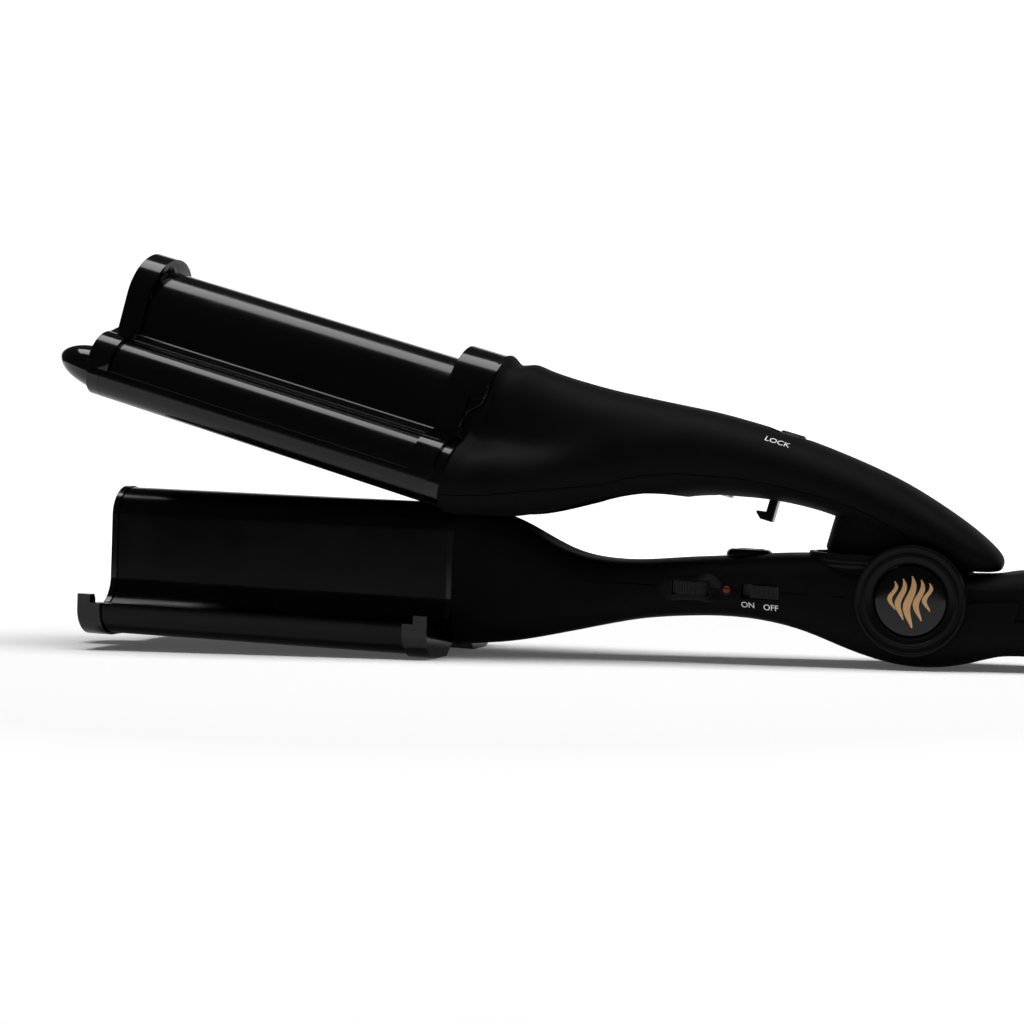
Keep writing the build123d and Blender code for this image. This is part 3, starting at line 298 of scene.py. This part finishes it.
def strip(name, stations, points, closed=True, capped=True):
    """A piece whose section, a list of points, is carried along a list of stations."""
    bpy.ops.object.select_all(action="DESELECT")
    rows = len(stations)
    columns = len(points(stations[0]))
    bpy.ops.mesh.primitive_grid_add(x_subdivisions=columns - 1, y_subdivisions=rows - 1, size=1)
    piece = bpy.context.object
    piece.name = name
    for row, station in enumerate(stations):
        for column, point in enumerate(points(station)):
            piece.data.vertices[row * columns + column].co = point
    bpy.ops.object.mode_set(mode="EDIT")
    if closed:
        bpy.ops.mesh.select_mode(type="EDGE")
        bpy.ops.mesh.select_all(action="DESELECT")
        shape = bmesh.from_edit_mesh(piece.data)
        shape.verts.ensure_lookup_table()
        for edge in shape.edges:
            places = [vertex.index % columns for vertex in edge.verts]
            edge.select_set(places == [0, 0] or places == [columns - 1, columns - 1])
        bmesh.update_edit_mesh(piece.data)
        bpy.ops.mesh.bridge_edge_loops()
    if capped:
        bpy.ops.mesh.select_all(action="SELECT")
        bpy.ops.mesh.region_to_loop()
        bpy.ops.mesh.edge_face_add()
    bpy.ops.mesh.select_all(action="SELECT")
    bpy.ops.mesh.normals_make_consistent(inside=False)
    bpy.ops.object.mode_set(mode="OBJECT")
    return piece


valley_foot = 13.75
valley_height = 5.6
valley_slope = -0.2727
valley_cove = 2.1
valley_front = 276.5
valley_rear = 161.0
valley_section = [(valley_foot, valley_height + valley_cove + 0.4)]
for step in range(7):
    angle = radians(180 + step * 13)
    valley_section.append((
        valley_foot + 0.05 + valley_cove * (1 + cos(angle)),
        valley_height + 0.1 + valley_cove * (1 + sin(angle)),
    ))
ridge_rise = 0.42
ridge_foot = 0.08
valley_under = -0.5
for across, rise in (
    (16.1, ridge_rise), (16.45, ridge_rise), (16.6, ridge_foot), (16.85, ridge_foot), (17.0, ridge_rise),
    (17.7, ridge_rise), (17.85, ridge_foot), (18.3, ridge_foot), (18.3, valley_under), (13.75, valley_under),
):
    valley_section.append((across, valley_height + (across - 13.8) * valley_slope + rise))
for hand, side in ((-1, "near"), (1, "far")):
    ridges = strip(
        "valley ridges",
        (-valley_front, -valley_rear),
        lambda x: [(x, hand * across, height) for across, height in valley_section],
    )
    smooth_flats(ridges, 30)
    settle(ridges, "upper_valley_ridges_" + side, upper_arm, "upper_arm", coated_plate)

# ==== tip cap of the upper jaw ====================================================================
# A polished band with a rounded outer corner. A short bead lies across each valley, and the long
# pointed nose in front of it stays cool enough to hold.
upper_tip = 283.0
tip_cap = worked_copy("upper_tip_cap", upper_arm)
round_corners(tip_cap, 1.3, 4, lambda a, b: max(a.x, b.x) < -upper_tip + 0.02)
round_corners(tip_cap, 0.3, 2, lambda a, b: min(a.x, b.x) > -upper_tip + 2.0)
smooth_flats(tip_cap)
settle(tip_cap, "upper_tip_cap_dressed", upper_arm, "upper_arm", polished_black, "upper_tip_cap")

bead_radius = 1.9
bead_stretch = 2.2
bead_place = (-280.1, 14.9, 4.9)
for hand, side in ((-1, "near"), (1, "far")):
    bpy.ops.object.select_all(action="DESELECT")
    bpy.ops.mesh.primitive_uv_sphere_add(segments=32, ring_count=16, radius=bead_radius)
    bead = bpy.context.object
    bpy.ops.object.mode_set(mode="EDIT")
    bpy.ops.mesh.select_all(action="SELECT")
    bpy.ops.transform.rotate(value=pi / 2, orient_axis="Y", center_override=(0, 0, 0))
    bpy.ops.object.mode_set(mode="OBJECT")
    for vertex in bead.data.vertices:
        vertex.co.x += bead_stretch if vertex.co.x > 0.01 else -bead_stretch if vertex.co.x < -0.01 else 0
    bead.location = (bead_place[0], hand * bead_place[1], bead_place[2])
    bpy.ops.object.shade_smooth()
    settle(bead, "upper_tip_bead_" + side, upper_arm, "upper_arm", polished_black)
dress("upper_cool_tip", polished_black)

# ==== rear cap of the upper jaw ===================================================================
# The taller band where the jaw meets the handle. Its edge on the handle's side runs down in an S,
# from over the handle at the crown to behind the lobes.
rear_cap = worked_copy("upper_rear_cap", upper_arm)
round_corners(rear_cap, 0.5, 3, lambda a, b: max(a.x, b.x) < -161.9 or min(a.x, b.x) > -153.9)
smooth_flats(rear_cap)
settle(rear_cap, "upper_rear_cap_dressed", upper_arm, "upper_arm", polished_black, "upper_rear_cap")

# ==== handles =====================================================================================
# Both arms are moulded halves under one soft-touch coating, matt and very dark. The halves meet in
# a hairline that runs along each side, whose shade is painted in as a thin dead-black tube.
soft_touch = finish("soft touch coating", (0.0042, 0.0042, 0.0044), 0.6, 0.035, 0.012, 3200, 0.05)
for node in ("upper_handle_shell", "upper_handle_cover", "lower_housing", "lower_top_cover", "tail_cover"):
    dress(node, soft_touch)

# A dead black with no gloss: painted shade for the hairline gaps between the halves.
seam_shade_paint = bpy.data.materials.new("painted seam shade")
seam_shade_paint.use_nodes = True
shader = seam_shade_paint.node_tree.nodes["Principled BSDF"]
shader.inputs["Base Color"].default_value = (0.0008, 0.0008, 0.0008, 1)
shader.inputs["Roughness"].default_value = 1.0
shader.inputs["Specular IOR Level"].default_value = 0.0


def on_skin(arm, along, height, hand, skins):
    """The place on an arm's skin that lies beside a point of its middle plane, and its normal."""
    start = arm @ Vector((-along, hand * 40, height))
    best = None
    for skin in skins:
        hit, place, normal, _ = bpy.data.objects[skin].ray_cast(start, Vector((0, -hand, 0)))
        if hit and (best is None or (place - start).length < (best[0] - start).length):
            best = (place, normal)
    return best


def hairline(name, arm, body, hand, skins, places, radius=0.00013):
    """A thin tube of painted seam shade laid in an arm's skin through points given as along and height."""
    points = []
    for (along, height), (next_along, next_height) in zip(places, places[1:]):
        for step in range(8):
            share = step / 8
            found = on_skin(
                arm,
                along + (next_along - along) * share,
                height + (next_height - height) * share,
                hand,
                skins,
            )
            if found:
                points.append(found[0])
    line = bpy.data.curves.new(name, "CURVE")
    line.dimensions = "3D"
    line.bevel_depth = radius
    line.bevel_resolution = 1
    spline = line.splines.new("POLY")
    spline.points.add(len(points) - 1)
    for point, place in zip(spline.points, points):
        point.co = (*place, 1)
    piece = bpy.data.objects.new(name, line)
    bpy.context.scene.collection.objects.link(piece)
    alone(piece)
    bpy.ops.object.convert(target="MESH")
    piece = bpy.context.object
    piece.data.materials.clear()
    piece.data.materials.append(seam_shade_paint)
    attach(piece, body)


upper_seam = (
    (150.0, -12.2), (144.8, -10.9), (135.3, -8.0), (120.9, -2.0), (103.2, 5.0), (91.7, 11.6), (80.3, 15.7),
    (62.9, 19.6), (49.0, 21.2), (35.8, 21.8), (25.1, 21.6), (16.1, 20.3), (11.1, 19.1), (4.7, 17.4),
    (0.7, 16.6),
)
lower_seam = ((104.0, -0.1), (90.0, 0.0), (75.3, 0.0))
upper_skins = ("upper_handle_shell", "upper_handle_cover")
# Painted shade lines in the seams between the halves, on both sides of each arm.
for hand, side in ((-1, "near"), (1, "far")):
    hairline("upper_seam_shade_" + side, upper_arm, "upper_arm", hand, upper_skins, upper_seam)
lower_skins = ("lower_housing", "lower_top_cover")
hairline("lower_seam_front", lower_arm, "lower_arm", -1, lower_skins, lower_seam)
hairline("lower_seam_middle", lower_arm, "lower_arm", -1, lower_skins, ((61.9, 0.0), (58.4, 0.0)))
hairline("lower_seam_switch", lower_arm, "lower_arm", -1, lower_skins, ((55.0, 0.0), (52.4, 0.0)))
hairline("lower_seam_rear", lower_arm, "lower_arm", -1, lower_skins, ((39.8, 0.0), (17.2, 0.0)))
hairline("lower_seam_far", lower_arm, "lower_arm", 1, lower_skins, ((104.0, -0.1), (60.0, 0.0), (17.2, 0.0)))

# The handle's mouth laps over the tall band beside it, in an S that ends at the foot of the dome. A
# polished bead runs down along its edge.
mouth_line = (
    (147.9, 24.5), (147.95, 22.5), (148.1, 20.6), (148.7, 19.0), (149.6, 17.6), (150.8, 16.5), (152.0, 15.6),
    (152.9, 14.5), (153.4, 13.2), (153.6, 11.8), (153.7, 10.4), (153.75, 9.2),
)
mouth_skins = ("upper_rear_cap_dressed", *upper_skins)
mouth_rear = 146.5
bead_round = 0.42
for hand, side in ((-1, "near"), (1, "far")):
    lap_rows = []
    bead_places = []
    for along, height in mouth_line:
        row = []
        for share, proud in ((0.0, -0.25), (0.02, 0.2), (0.12, 0.42), (0.4, 0.45), (0.75, 0.3), (1.0, -0.3)):
            reach = along + (mouth_rear - along) * share
            found = on_skin(upper_arm, reach, height, hand, mouth_skins)
            local = upper_arm.inverted() @ found[0]
            row.append((local.x, local.y + hand * proud, local.z))
        lap_rows.append(row)
        found = on_skin(upper_arm, along + 0.2, height, hand, mouth_skins)
        local = upper_arm.inverted() @ found[0]
        bead_places.append((local.x, local.y, local.z))
    lap = strip("mouth lap", range(len(lap_rows)), lambda row: lap_rows[row], closed=False, capped=False)
    bpy.ops.object.mode_set(mode="EDIT")
    bpy.ops.mesh.select_all(action="SELECT")
    bpy.ops.mesh.extrude_region_move(TRANSFORM_OT_translate={"value": (0, -hand * 0.6, 0)})
    bpy.ops.mesh.select_all(action="SELECT")
    bpy.ops.mesh.normals_make_consistent(inside=False)
    bpy.ops.object.mode_set(mode="OBJECT")
    smooth_flats(lap, 50)
    settle(lap, "handle_mouth_" + side, upper_arm, "upper_arm", soft_touch)
    bead = strip(
        "mouth bead",
        range(len(bead_places)),
        lambda row: [
            (
                bead_places[row][0] + bead_round * cos(radians(60 * step)),
                bead_places[row][1] + hand * (0.1 + bead_round * sin(radians(60 * step))),
                bead_places[row][2],
            )
            for step in range(6)
        ],
    )
    smooth_flats(bead, 80)
    settle(bead, "mouth_bead_" + side, upper_arm, "upper_arm", polished_black)

# ==== collar round the neck =======================================================================
# A polished oval rim stands on the lower arm where the neck of the upper one goes down into it. It
# is open towards the cord end and its wall bulges a little.
satin_black = finish("satin black", (0.0030, 0.0030, 0.0032), 0.34, 0.1, 0.004, 2600)
collar_front = 33.8
collar_half = 15.0
collar_rear = 4.0
well_front = 31.6
well_half = 12.15


def collar_section(share):
    """The rim's section at a share of the way round, from the near end to the far one."""
    straight = collar_front - collar_half - collar_rear
    bend = pi * collar_half
    run = share * (2 * straight + bend)
    if run < straight:
        along, across, turn = collar_rear + run, -1, 0
        outer, inner = Vector((-along, -collar_half, 0)), Vector((-along, -well_half, 0))
    elif run > straight + bend:
        along = collar_rear + 2 * straight + bend - run
        outer, inner = Vector((-along, collar_half, 0)), Vector((-along, well_half, 0))
    else:
        turn = (run - straight) / collar_half
        out = Vector((-sin(turn), -cos(turn), 0))
        outer = Vector((-(collar_front - collar_half), 0, 0)) + out * collar_half
        inner = Vector((-(well_front - well_half), 0, 0)) + out * well_half
    dip = 0.7 * min(abs(share - 0.5) * 4.2, 1) ** 2
    section = []
    for share_out, height in (
        (0.0, 7.0), (0.0, 12.8), (0.08, 13.1), (0.25, 13.1), (0.55, 12.95), (0.8, 12.6), (0.93, 12.2),
        (1.0, 11.7), (0.99, 11.1), (0.93, 10.3), (0.86, 9.5), (0.78, 8.7),
    ):
        place = inner.lerp(outer, share_out)
        section.append((place.x, place.y, height - dip * max(0, (height - 8) / 4.8)))
    return section


collar = strip("collar", [step / 64 for step in range(65)], collar_section)
smooth_flats(collar, 50)
settle(collar, "collar_rim", lower_arm, "lower_arm", satin_black)

# ==== hinge =======================================================================================
# A stepped ring and a polished disc sit in each cheek over the pin. The disc carries a plain
# ornament of wavy strands, printed in a pale gold.
pale_gold = finish("pale gold print", (0.72, 0.42, 0.20), 0.42, 0.4, 0.004, 2200, metallic=0.25)


def turned(name, profile, arm, body, material, sides=96, centre=(0, 0), *replaced):
    """A piece turned about an axis across the arm, from a profile of radius and distance out."""
    piece = strip(
        name,
        [2 * pi * step / sides for step in range(sides)],
        lambda angle: [
            (centre[0] + radius * cos(angle), out, centre[1] + radius * sin(angle)) for radius, out in profile
        ],
        closed=profile[0][0] > 0,
        capped=False,
    )
    columns = len(profile)
    bpy.ops.object.mode_set(mode="EDIT")
    bpy.ops.mesh.select_mode(type="EDGE")
    bpy.ops.mesh.select_all(action="DESELECT")
    shape = bmesh.from_edit_mesh(piece.data)
    last = (sides - 1) * columns
    for edge in shape.edges:
        places = [vertex.index for vertex in edge.verts]
        edge.select_set(max(places) < columns or min(places) >= last)
    bmesh.update_edit_mesh(piece.data)
    bpy.ops.mesh.bridge_edge_loops()
    bpy.ops.mesh.select_all(action="SELECT")
    bpy.ops.mesh.remove_doubles(threshold=0.0005)
    bpy.ops.mesh.normals_make_consistent(inside=False)
    bpy.ops.object.mode_set(mode="OBJECT")
    smooth_flats(piece, 40)
    settle(piece, name, arm, body, material, *replaced)
    return piece


ring_profile = (
    (11.4, 13.9), (11.4, 15.0), (11.6, 15.35), (12.0, 15.6), (12.9, 15.85), (13.15, 16.05), (13.3, 16.18),
    (14.25, 16.18), (14.4, 16.08), (14.55, 15.86), (15.3, 15.9), (15.5, 15.98), (15.7, 16.2), (15.9, 16.3),
    (16.3, 16.3), (16.6, 16.2), (16.75, 15.95), (16.75, 15.3),
)
disc_profile = (
    (0.0, 15.28), (3.0, 15.27), (6.0, 15.24), (8.5, 15.17), (9.8, 15.08), (10.5, 14.92), (10.9, 14.65),
    (11.05, 14.2), (11.05, 13.8), (0.0, 13.8),
)
for hand, side in ((-1, "near"), (1, "far")):
    turned(
        "hinge_ring_dressed_" + side,
        [(radius, hand * out) for radius, out in ring_profile],
        lower_arm, "lower_arm", satin_black, 128, (0, 0), "hinge_ring_" + side,
    )
    turned(
        "hinge_disc_dressed_" + side,
        [(radius, hand * out) for radius, out in disc_profile],
        lower_arm, "lower_arm", polished_black, 96, (0, 0), "hinge_disc_" + side,
    )
    for number, (offset, length, drop, width) in enumerate((
        (-5.2, 8.6, -1.4, 0.75), (-2.7, 12.4, -0.4, 0.95), (0.0, 15.6, 0.3, 1.15),
        (2.7, 12.4, -0.4, 0.95), (5.2, 8.6, -1.4, 0.75),
    )):
        bpy.ops.object.select_all(action="DESELECT")
        bpy.ops.mesh.primitive_grid_add(x_subdivisions=2, y_subdivisions=28, size=1)
        strand = bpy.context.object
        for vertex in strand.data.vertices:
            share = vertex.co.y + 0.5
            taper = sin(pi * min(max(share, 0.02), 0.98)) ** 0.6
            sway = 0.95 * sin(2.2 * pi * share + 0.4)
            vertex.co = (
                offset + sway + vertex.co.x * 2 * width * taper,
                hand * (15.3 - 0.0009 * (offset**2 + ((share - 0.5) * length + drop) ** 2)),
                (0.5 - share) * length - drop,
            )
        bpy.ops.object.mode_set(mode="EDIT")
        bpy.ops.mesh.select_all(action="SELECT")
        bpy.ops.mesh.extrude_region_move(TRANSFORM_OT_translate={"value": (0, -hand * 0.12, 0)})
        bpy.ops.mesh.select_all(action="SELECT")
        bpy.ops.mesh.normals_make_consistent(inside=False)
        bpy.ops.object.mode_set(mode="OBJECT")
        settle(strand, f"hinge_ornament_{side}_{number + 1}", lower_arm, "lower_arm", pale_gold)

# ==== temperature dial ============================================================================
# A ribbed wheel, most of it inside the arm. Only a narrow part of its rim shows, in an oval dish.
control_black = finish("control black", (0.0125, 0.0125, 0.0128), 0.45, 0.24, 0.004, 2600)
dial_along = 68.6
dial_height = -0.2
dial_radius = 8.5
dial_depth = 4.2
dial_middle = -5.4
dial_ribs = 58
bpy.ops.object.select_all(action="DESELECT")
bpy.ops.mesh.primitive_cylinder_add(
    vertices=dial_ribs * 4,
    radius=dial_radius,
    depth=dial_depth,
    location=(-dial_along, dial_middle, dial_height),
)
dial = bpy.context.object
for vertex in dial.data.vertices:
    if (vertex.index // 2) % 4 > 1:
        vertex.co.x *= 1 - 0.38 / dial_radius
        vertex.co.y *= 1 - 0.38 / dial_radius
smooth_flats(dial, 25)
settle(dial, "temperature_dial_dressed", lower_arm, "dial", control_black, "temperature_dial")

# The dish round the wheel is a smooth oval hollow, with a plain window for the rim.
window_half = 6.0
window_rise = 2.25
dish_half = 10.5
dish_rise = 6.2
dish_floor = -12.78
window_inside = -10.4


def dish_section(turn):
    """The dish's skin at an angle round it, from its brim down to the window and in."""
    square = 1 / max(abs(cos(turn)), abs(sin(turn)))
    inner = Vector((window_half * cos(turn), window_rise * sin(turn))) * square
    outer = Vector((dish_half * cos(turn), dish_rise * sin(turn)))
    brim = on_skin(lower_arm, dial_along - outer.x, dial_height + outer.y, -1, lower_skins)
    brim_out = (lower_arm.inverted() @ brim[0]).y - 0.03
    section = []
    for share in (0.0, 0.12, 0.3, 0.5, 0.7, 0.88, 1.0):
        place = outer.lerp(inner, share)
        sunk = min(share * 1.2, 1)
        sunk = sunk * sunk * (3 - 2 * sunk)
        out = brim_out + (dish_floor - brim_out) * sunk
        section.append((place.x - dial_along, out, place.y + dial_height))
    section.append((inner.x - dial_along, window_inside, inner.y + dial_height))
    return section


dish = strip("dish", [2 * pi * step / 64 for step in range(65)], dish_section, closed=False, capped=False)
bpy.ops.object.mode_set(mode="EDIT")
bpy.ops.mesh.select_all(action="SELECT")
bpy.ops.mesh.remove_doubles(threshold=0.0005)
bpy.ops.mesh.extrude_region_move(TRANSFORM_OT_translate={"value": (0, 0.12, 0)})
bpy.ops.mesh.select_all(action="SELECT")
bpy.ops.mesh.normals_make_consistent(inside=False)
bpy.ops.object.mode_set(mode="OBJECT")
smooth_flats(dish, 50)
settle(dish, "dial_dish", lower_arm, "lower_arm", satin_black)
# A painted shade line in the seam beside the dish.
hairline("lower_seam_dish", lower_arm, "lower_arm", -1, ("dial_dish",), ((62.2, -0.05), (58.4, 0.0)))

# ==== lamp ========================================================================================
# A small clear orange lens in a dark bezel between the dial and the switch.
# The lamp is off, and its faint orange glow is painted in.
lens_painted_glow = bpy.data.materials.new("orange lens")
lens_painted_glow.use_nodes = True
tree = lens_painted_glow.node_tree
shader = tree.nodes["Principled BSDF"]
shader.inputs["Roughness"].default_value = 0.16
shader.inputs["Specular IOR Level"].default_value = 0.25
# A faint orange emission: a painted glow, as the lamp is not lit.
shader.inputs["Emission Color"].default_value = (1.0, 0.16, 0.03, 1)
shader.inputs["Emission Strength"].default_value = 0.012
place = tree.nodes.new("ShaderNodeTexCoord")
facets = tree.nodes.new("ShaderNodeTexVoronoi")
facets.inputs["Scale"].default_value = 1500
tree.links.new(place.outputs["Object"], facets.inputs["Vector"])
tone = tree.nodes.new("ShaderNodeValToRGB")
tone.color_ramp.elements[0].color = (0.11, 0.012, 0.003, 1)
tone.color_ramp.elements[1].color = (0.05, 0.004, 0.002, 1)
tree.links.new(facets.outputs["Distance"], tone.inputs["Fac"])
tree.links.new(tone.outputs["Color"], shader.inputs["Base Color"])
lamp_place = (-56.7, 0.1)
turned(
    "indicator_lens_dressed",
    ((0.0, -15.15), (0.5, -15.1), (0.95, -14.92), (1.25, -14.6), (1.32, -14.3), (1.32, -11.0), (0.0, -11.0)),
    lower_arm, "lower_arm", lens_painted_glow, 40, lamp_place, "indicator_lens",
)
turned(
    "lamp_bezel",
    ((1.32, -13.6), (1.34, -14.55), (1.5, -14.68), (1.75, -14.62), (1.9, -14.4), (1.95, -13.6)),
    lower_arm, "lower_arm", satin_black, 40, lamp_place,
)

# ==== switch ======================================================================================
# A flat slide with ten upright ribs, which runs in a plain slot. OFF is towards the hinge.
switch_along = 46.1
knob_along = switch_along - 1.5
knob_length = 8.8
knob_height = 3.9
ribs = 10
rib_profile = [(-knob_length / 2, 10.5), (-knob_length / 2, 15.0), (-knob_length / 2 + 0.25, 15.25)]
pitch = (knob_length - 0.9) / ribs
for rib in range(ribs):
    start = -knob_length / 2 + 0.45 + rib * pitch
    for share, out in ((0.12, 15.2), (0.26, 15.62), (0.62, 15.62), (0.76, 15.2)):
        rib_profile.append((start + share * pitch, out))
rib_profile += [(knob_length / 2 - 0.25, 15.25), (knob_length / 2, 15.0), (knob_length / 2, 10.5)]
knob_middle = -0.1
knob_chamfer = 0.25


def slide_section(share):
    """The slide's ribbed outline at a share of its half height, chamfered at the two ends."""
    back = knob_chamfer if abs(share) == 1.0 else 0
    height = knob_middle + share * knob_height / 2
    return [(-knob_along + x, -(out - (back if out > 11 else 0)), height) for x, out in rib_profile]


slide = strip("slide", (-1.0, -0.93, 0.93, 1.0), slide_section)
smooth_flats(slide, 25)
settle(slide, "switch_knob_dressed", lower_arm, "switch", control_black, "switch_knob")

# ==== lettering ===================================================================================
# ON, OFF and LOCK are pad-printed in white beside what they name.
white_print = finish("white print", (0.82, 0.82, 0.82), 0.55, 0.3, 0.003, 3000)


def letter(text, name, arm, body, along, height, size, skins):
    """A word printed on the near side of an arm."""
    place, normal = on_skin(arm, along, height, -1, skins)
    bpy.ops.object.select_all(action="DESELECT")
    bpy.ops.object.text_add()
    word = bpy.context.object
    word.data.body = text
    word.data.align_x = "CENTER"
    word.data.align_y = "CENTER"
    word.data.size = size / 1000
    word.data.extrude = 0.00003
    word.data.offset = 0.00001
    bpy.ops.object.convert(target="MESH")
    word = bpy.context.object
    out = normal.normalized()
    run = arm.to_3x3() @ Vector((1, 0, 0))
    run = (run - out * run.dot(out)).normalized()
    turn = Matrix((run, out.cross(run), out)).transposed().to_4x4()
    word.data.transform(Matrix.Translation(place + out * 0.00004) @ turn)
    word.name = name
    word.data.materials.clear()
    word.data.materials.append(white_print)
    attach(word, body)


letter("ON", "word_on", lower_arm, "lower_arm", 49.9, -4.35, 2.75, ("lower_housing",))
letter("OFF", "word_off", lower_arm, "lower_arm", 42.6, -4.8, 2.75, ("lower_housing",))
letter("LOCK", "word_lock", upper_arm, "upper_arm", 53.7, 33.9, 3.05, ("upper_handle_shell",))

# ==== lock ========================================================================================
# A studded knob slides in a recess in the top of the upper arm. The hook under it is bent round and
# drops into the window of the catch on the lower arm.
lock_along = 51.5
bpy.ops.object.select_all(action="DESELECT")
bpy.ops.mesh.primitive_cylinder_add(vertices=64, radius=3.4, depth=2.0, location=(-lock_along, 0, 36.05))
knob = bpy.context.object
for vertex in knob.data.vertices:
    vertex.co.x += 1.1 if vertex.co.x > 0 else -1.1
round_corners(knob, 0.6, 3, lambda a, b: min(a.z, b.z) > 0)
bpy.ops.object.select_all(action="DESELECT")
studs = []
for row in range(5):
    for column in range(8):
        x = -3.5 + column * 1.0 + (0.25 if row % 2 else -0.0)
        y = -2.2 + row * 1.1
        if abs(x) > 3.6 or (abs(x) > 2.6 and abs(y) > 1.2):
            continue
        bpy.ops.mesh.primitive_cone_add(
            vertices=4, radius1=0.52, radius2=0.16, depth=0.55, location=(-lock_along + x, y, 37.25)
        )
        studs.append(bpy.context.object)
alone(knob)
for stud in studs:
    stud.select_set(True)
bpy.ops.object.join()
knob = bpy.context.object
smooth_flats(knob, 30)
settle(knob, "lock_knob_dressed", upper_arm, "lock", control_black, "lock_knob")

hook = worked_copy("lock_hook", upper_arm)
round_corners(hook, 0.3, 3, lambda a, b: abs(a.y) > 1.9 and abs(b.y) > 1.9 and abs(a.y - b.y) < 0.1)
smooth_flats(hook, 40)
settle(hook, "lock_hook_dressed", upper_arm, "lock", polished_black, "lock_hook")

catch = worked_copy("lock_catch", lower_arm)
round_corners(catch, 0.2, 2, lambda a, b: min(a.z, b.z) > 8.0)
smooth_flats(catch)
settle(catch, "lock_catch_dressed", lower_arm, "lower_arm", polished_black, "lock_catch")

# ==== cord outlet =================================================================================
# The gland is one soft rubber moulding. Its sleeve tapers to the cord in a row of ribs.
gland_rubber = finish("gland rubber", (0.0045, 0.0045, 0.0045), 0.62, 0.06, 0.01, 2600)
dress("cord_gland", gland_rubber)
sleeve_start = 50.6
sleeve_end = 61.6
sleeve_height = -2.8
for rib in range(6):
    along = sleeve_start + 1.2 + rib * 1.9
    share = (along - sleeve_start) / (sleeve_end - sleeve_start)
    bpy.ops.object.select_all(action="DESELECT")
    bpy.ops.mesh.primitive_torus_add(
        major_radius=6.95 - 1.6 * share, minor_radius=0.55, major_segments=64, minor_segments=12
    )
    relief = bpy.context.object
    bpy.ops.object.mode_set(mode="EDIT")
    bpy.ops.mesh.select_all(action="SELECT")
    bpy.ops.transform.rotate(value=pi / 2, orient_axis="Y", center_override=(0, 0, 0))
    bpy.ops.object.mode_set(mode="OBJECT")
    relief.location = (along, 0, sleeve_height)
    bpy.ops.object.shade_smooth()
    settle(relief, f"gland_rib_{rib + 1}", lower_arm, "gland", gland_rubber)

# ==== inside ======================================================================================
# What the shells hide: fired heaters, cut-outs, the board with its parts, the pin and the screws.
fired_ceramic = finish("fired ceramic", (0.62, 0.58, 0.5), 0.7, 0.3, 0.02, 1500)
plated_steel = finish("plated steel", (0.5, 0.5, 0.5), 0.32, 0.5, 0.003, 1500, metallic=1.0)
solder_mask = finish("solder mask", (0.02, 0.16, 0.06), 0.35, 0.5, 0.004, 900)
inner_moulding = finish("inner moulding", (0.03, 0.03, 0.03), 0.5, 0.4, 0.006, 1500)
for node, material in (
    ("lower_heater", fired_ceramic),
    ("upper_heater_near", fired_ceramic),
    ("upper_heater_far", fired_ceramic),
    ("lower_thermostat", plated_steel),
    ("upper_thermostat", plated_steel),
    ("hinge_pin", plated_steel),
    ("return_spring", plated_steel),
    ("control_board", solder_mask),
    ("dial_potentiometer", inner_moulding),
    ("switch_body", inner_moulding),
):
    dress(node, material)
for screw in ("lower_screw_1", "lower_screw_2", "lower_screw_3", "upper_screw_1", "upper_screw_2"):
    dress(screw, plated_steel)

# ==== camera ======================================================================================
# It stands low on the side of the controls, a little towards the cord end.
camera_turn = radians(19.22)
camera_dip = radians(1.38)
camera_roll = radians(-0.10)
camera_place = hinge + Vector((0.09703, -0.65685, 0.04236))
forward = Vector((-sin(camera_turn) * cos(camera_dip), cos(camera_turn) * cos(camera_dip), -sin(camera_dip)))
level_right = Vector((cos(camera_turn), sin(camera_turn), 0))
level_up = level_right.cross(forward)
right = level_right * cos(camera_roll) + level_up * sin(camera_roll)
up = -level_right * sin(camera_roll) + level_up * cos(camera_roll)
bpy.ops.object.camera_add()
camera = bpy.context.object
camera.matrix_world = Matrix.Translation(camera_place) @ Matrix((right, up, -forward)).transposed().to_4x4()
camera.data.lens = 74.70
camera.data.sensor_width = 36
camera.data.clip_start = 0.01
camera.data.dof.use_dof = False
bpy.context.scene.camera = camera
bpy.context.scene.view_settings.view_transform = "Standard"
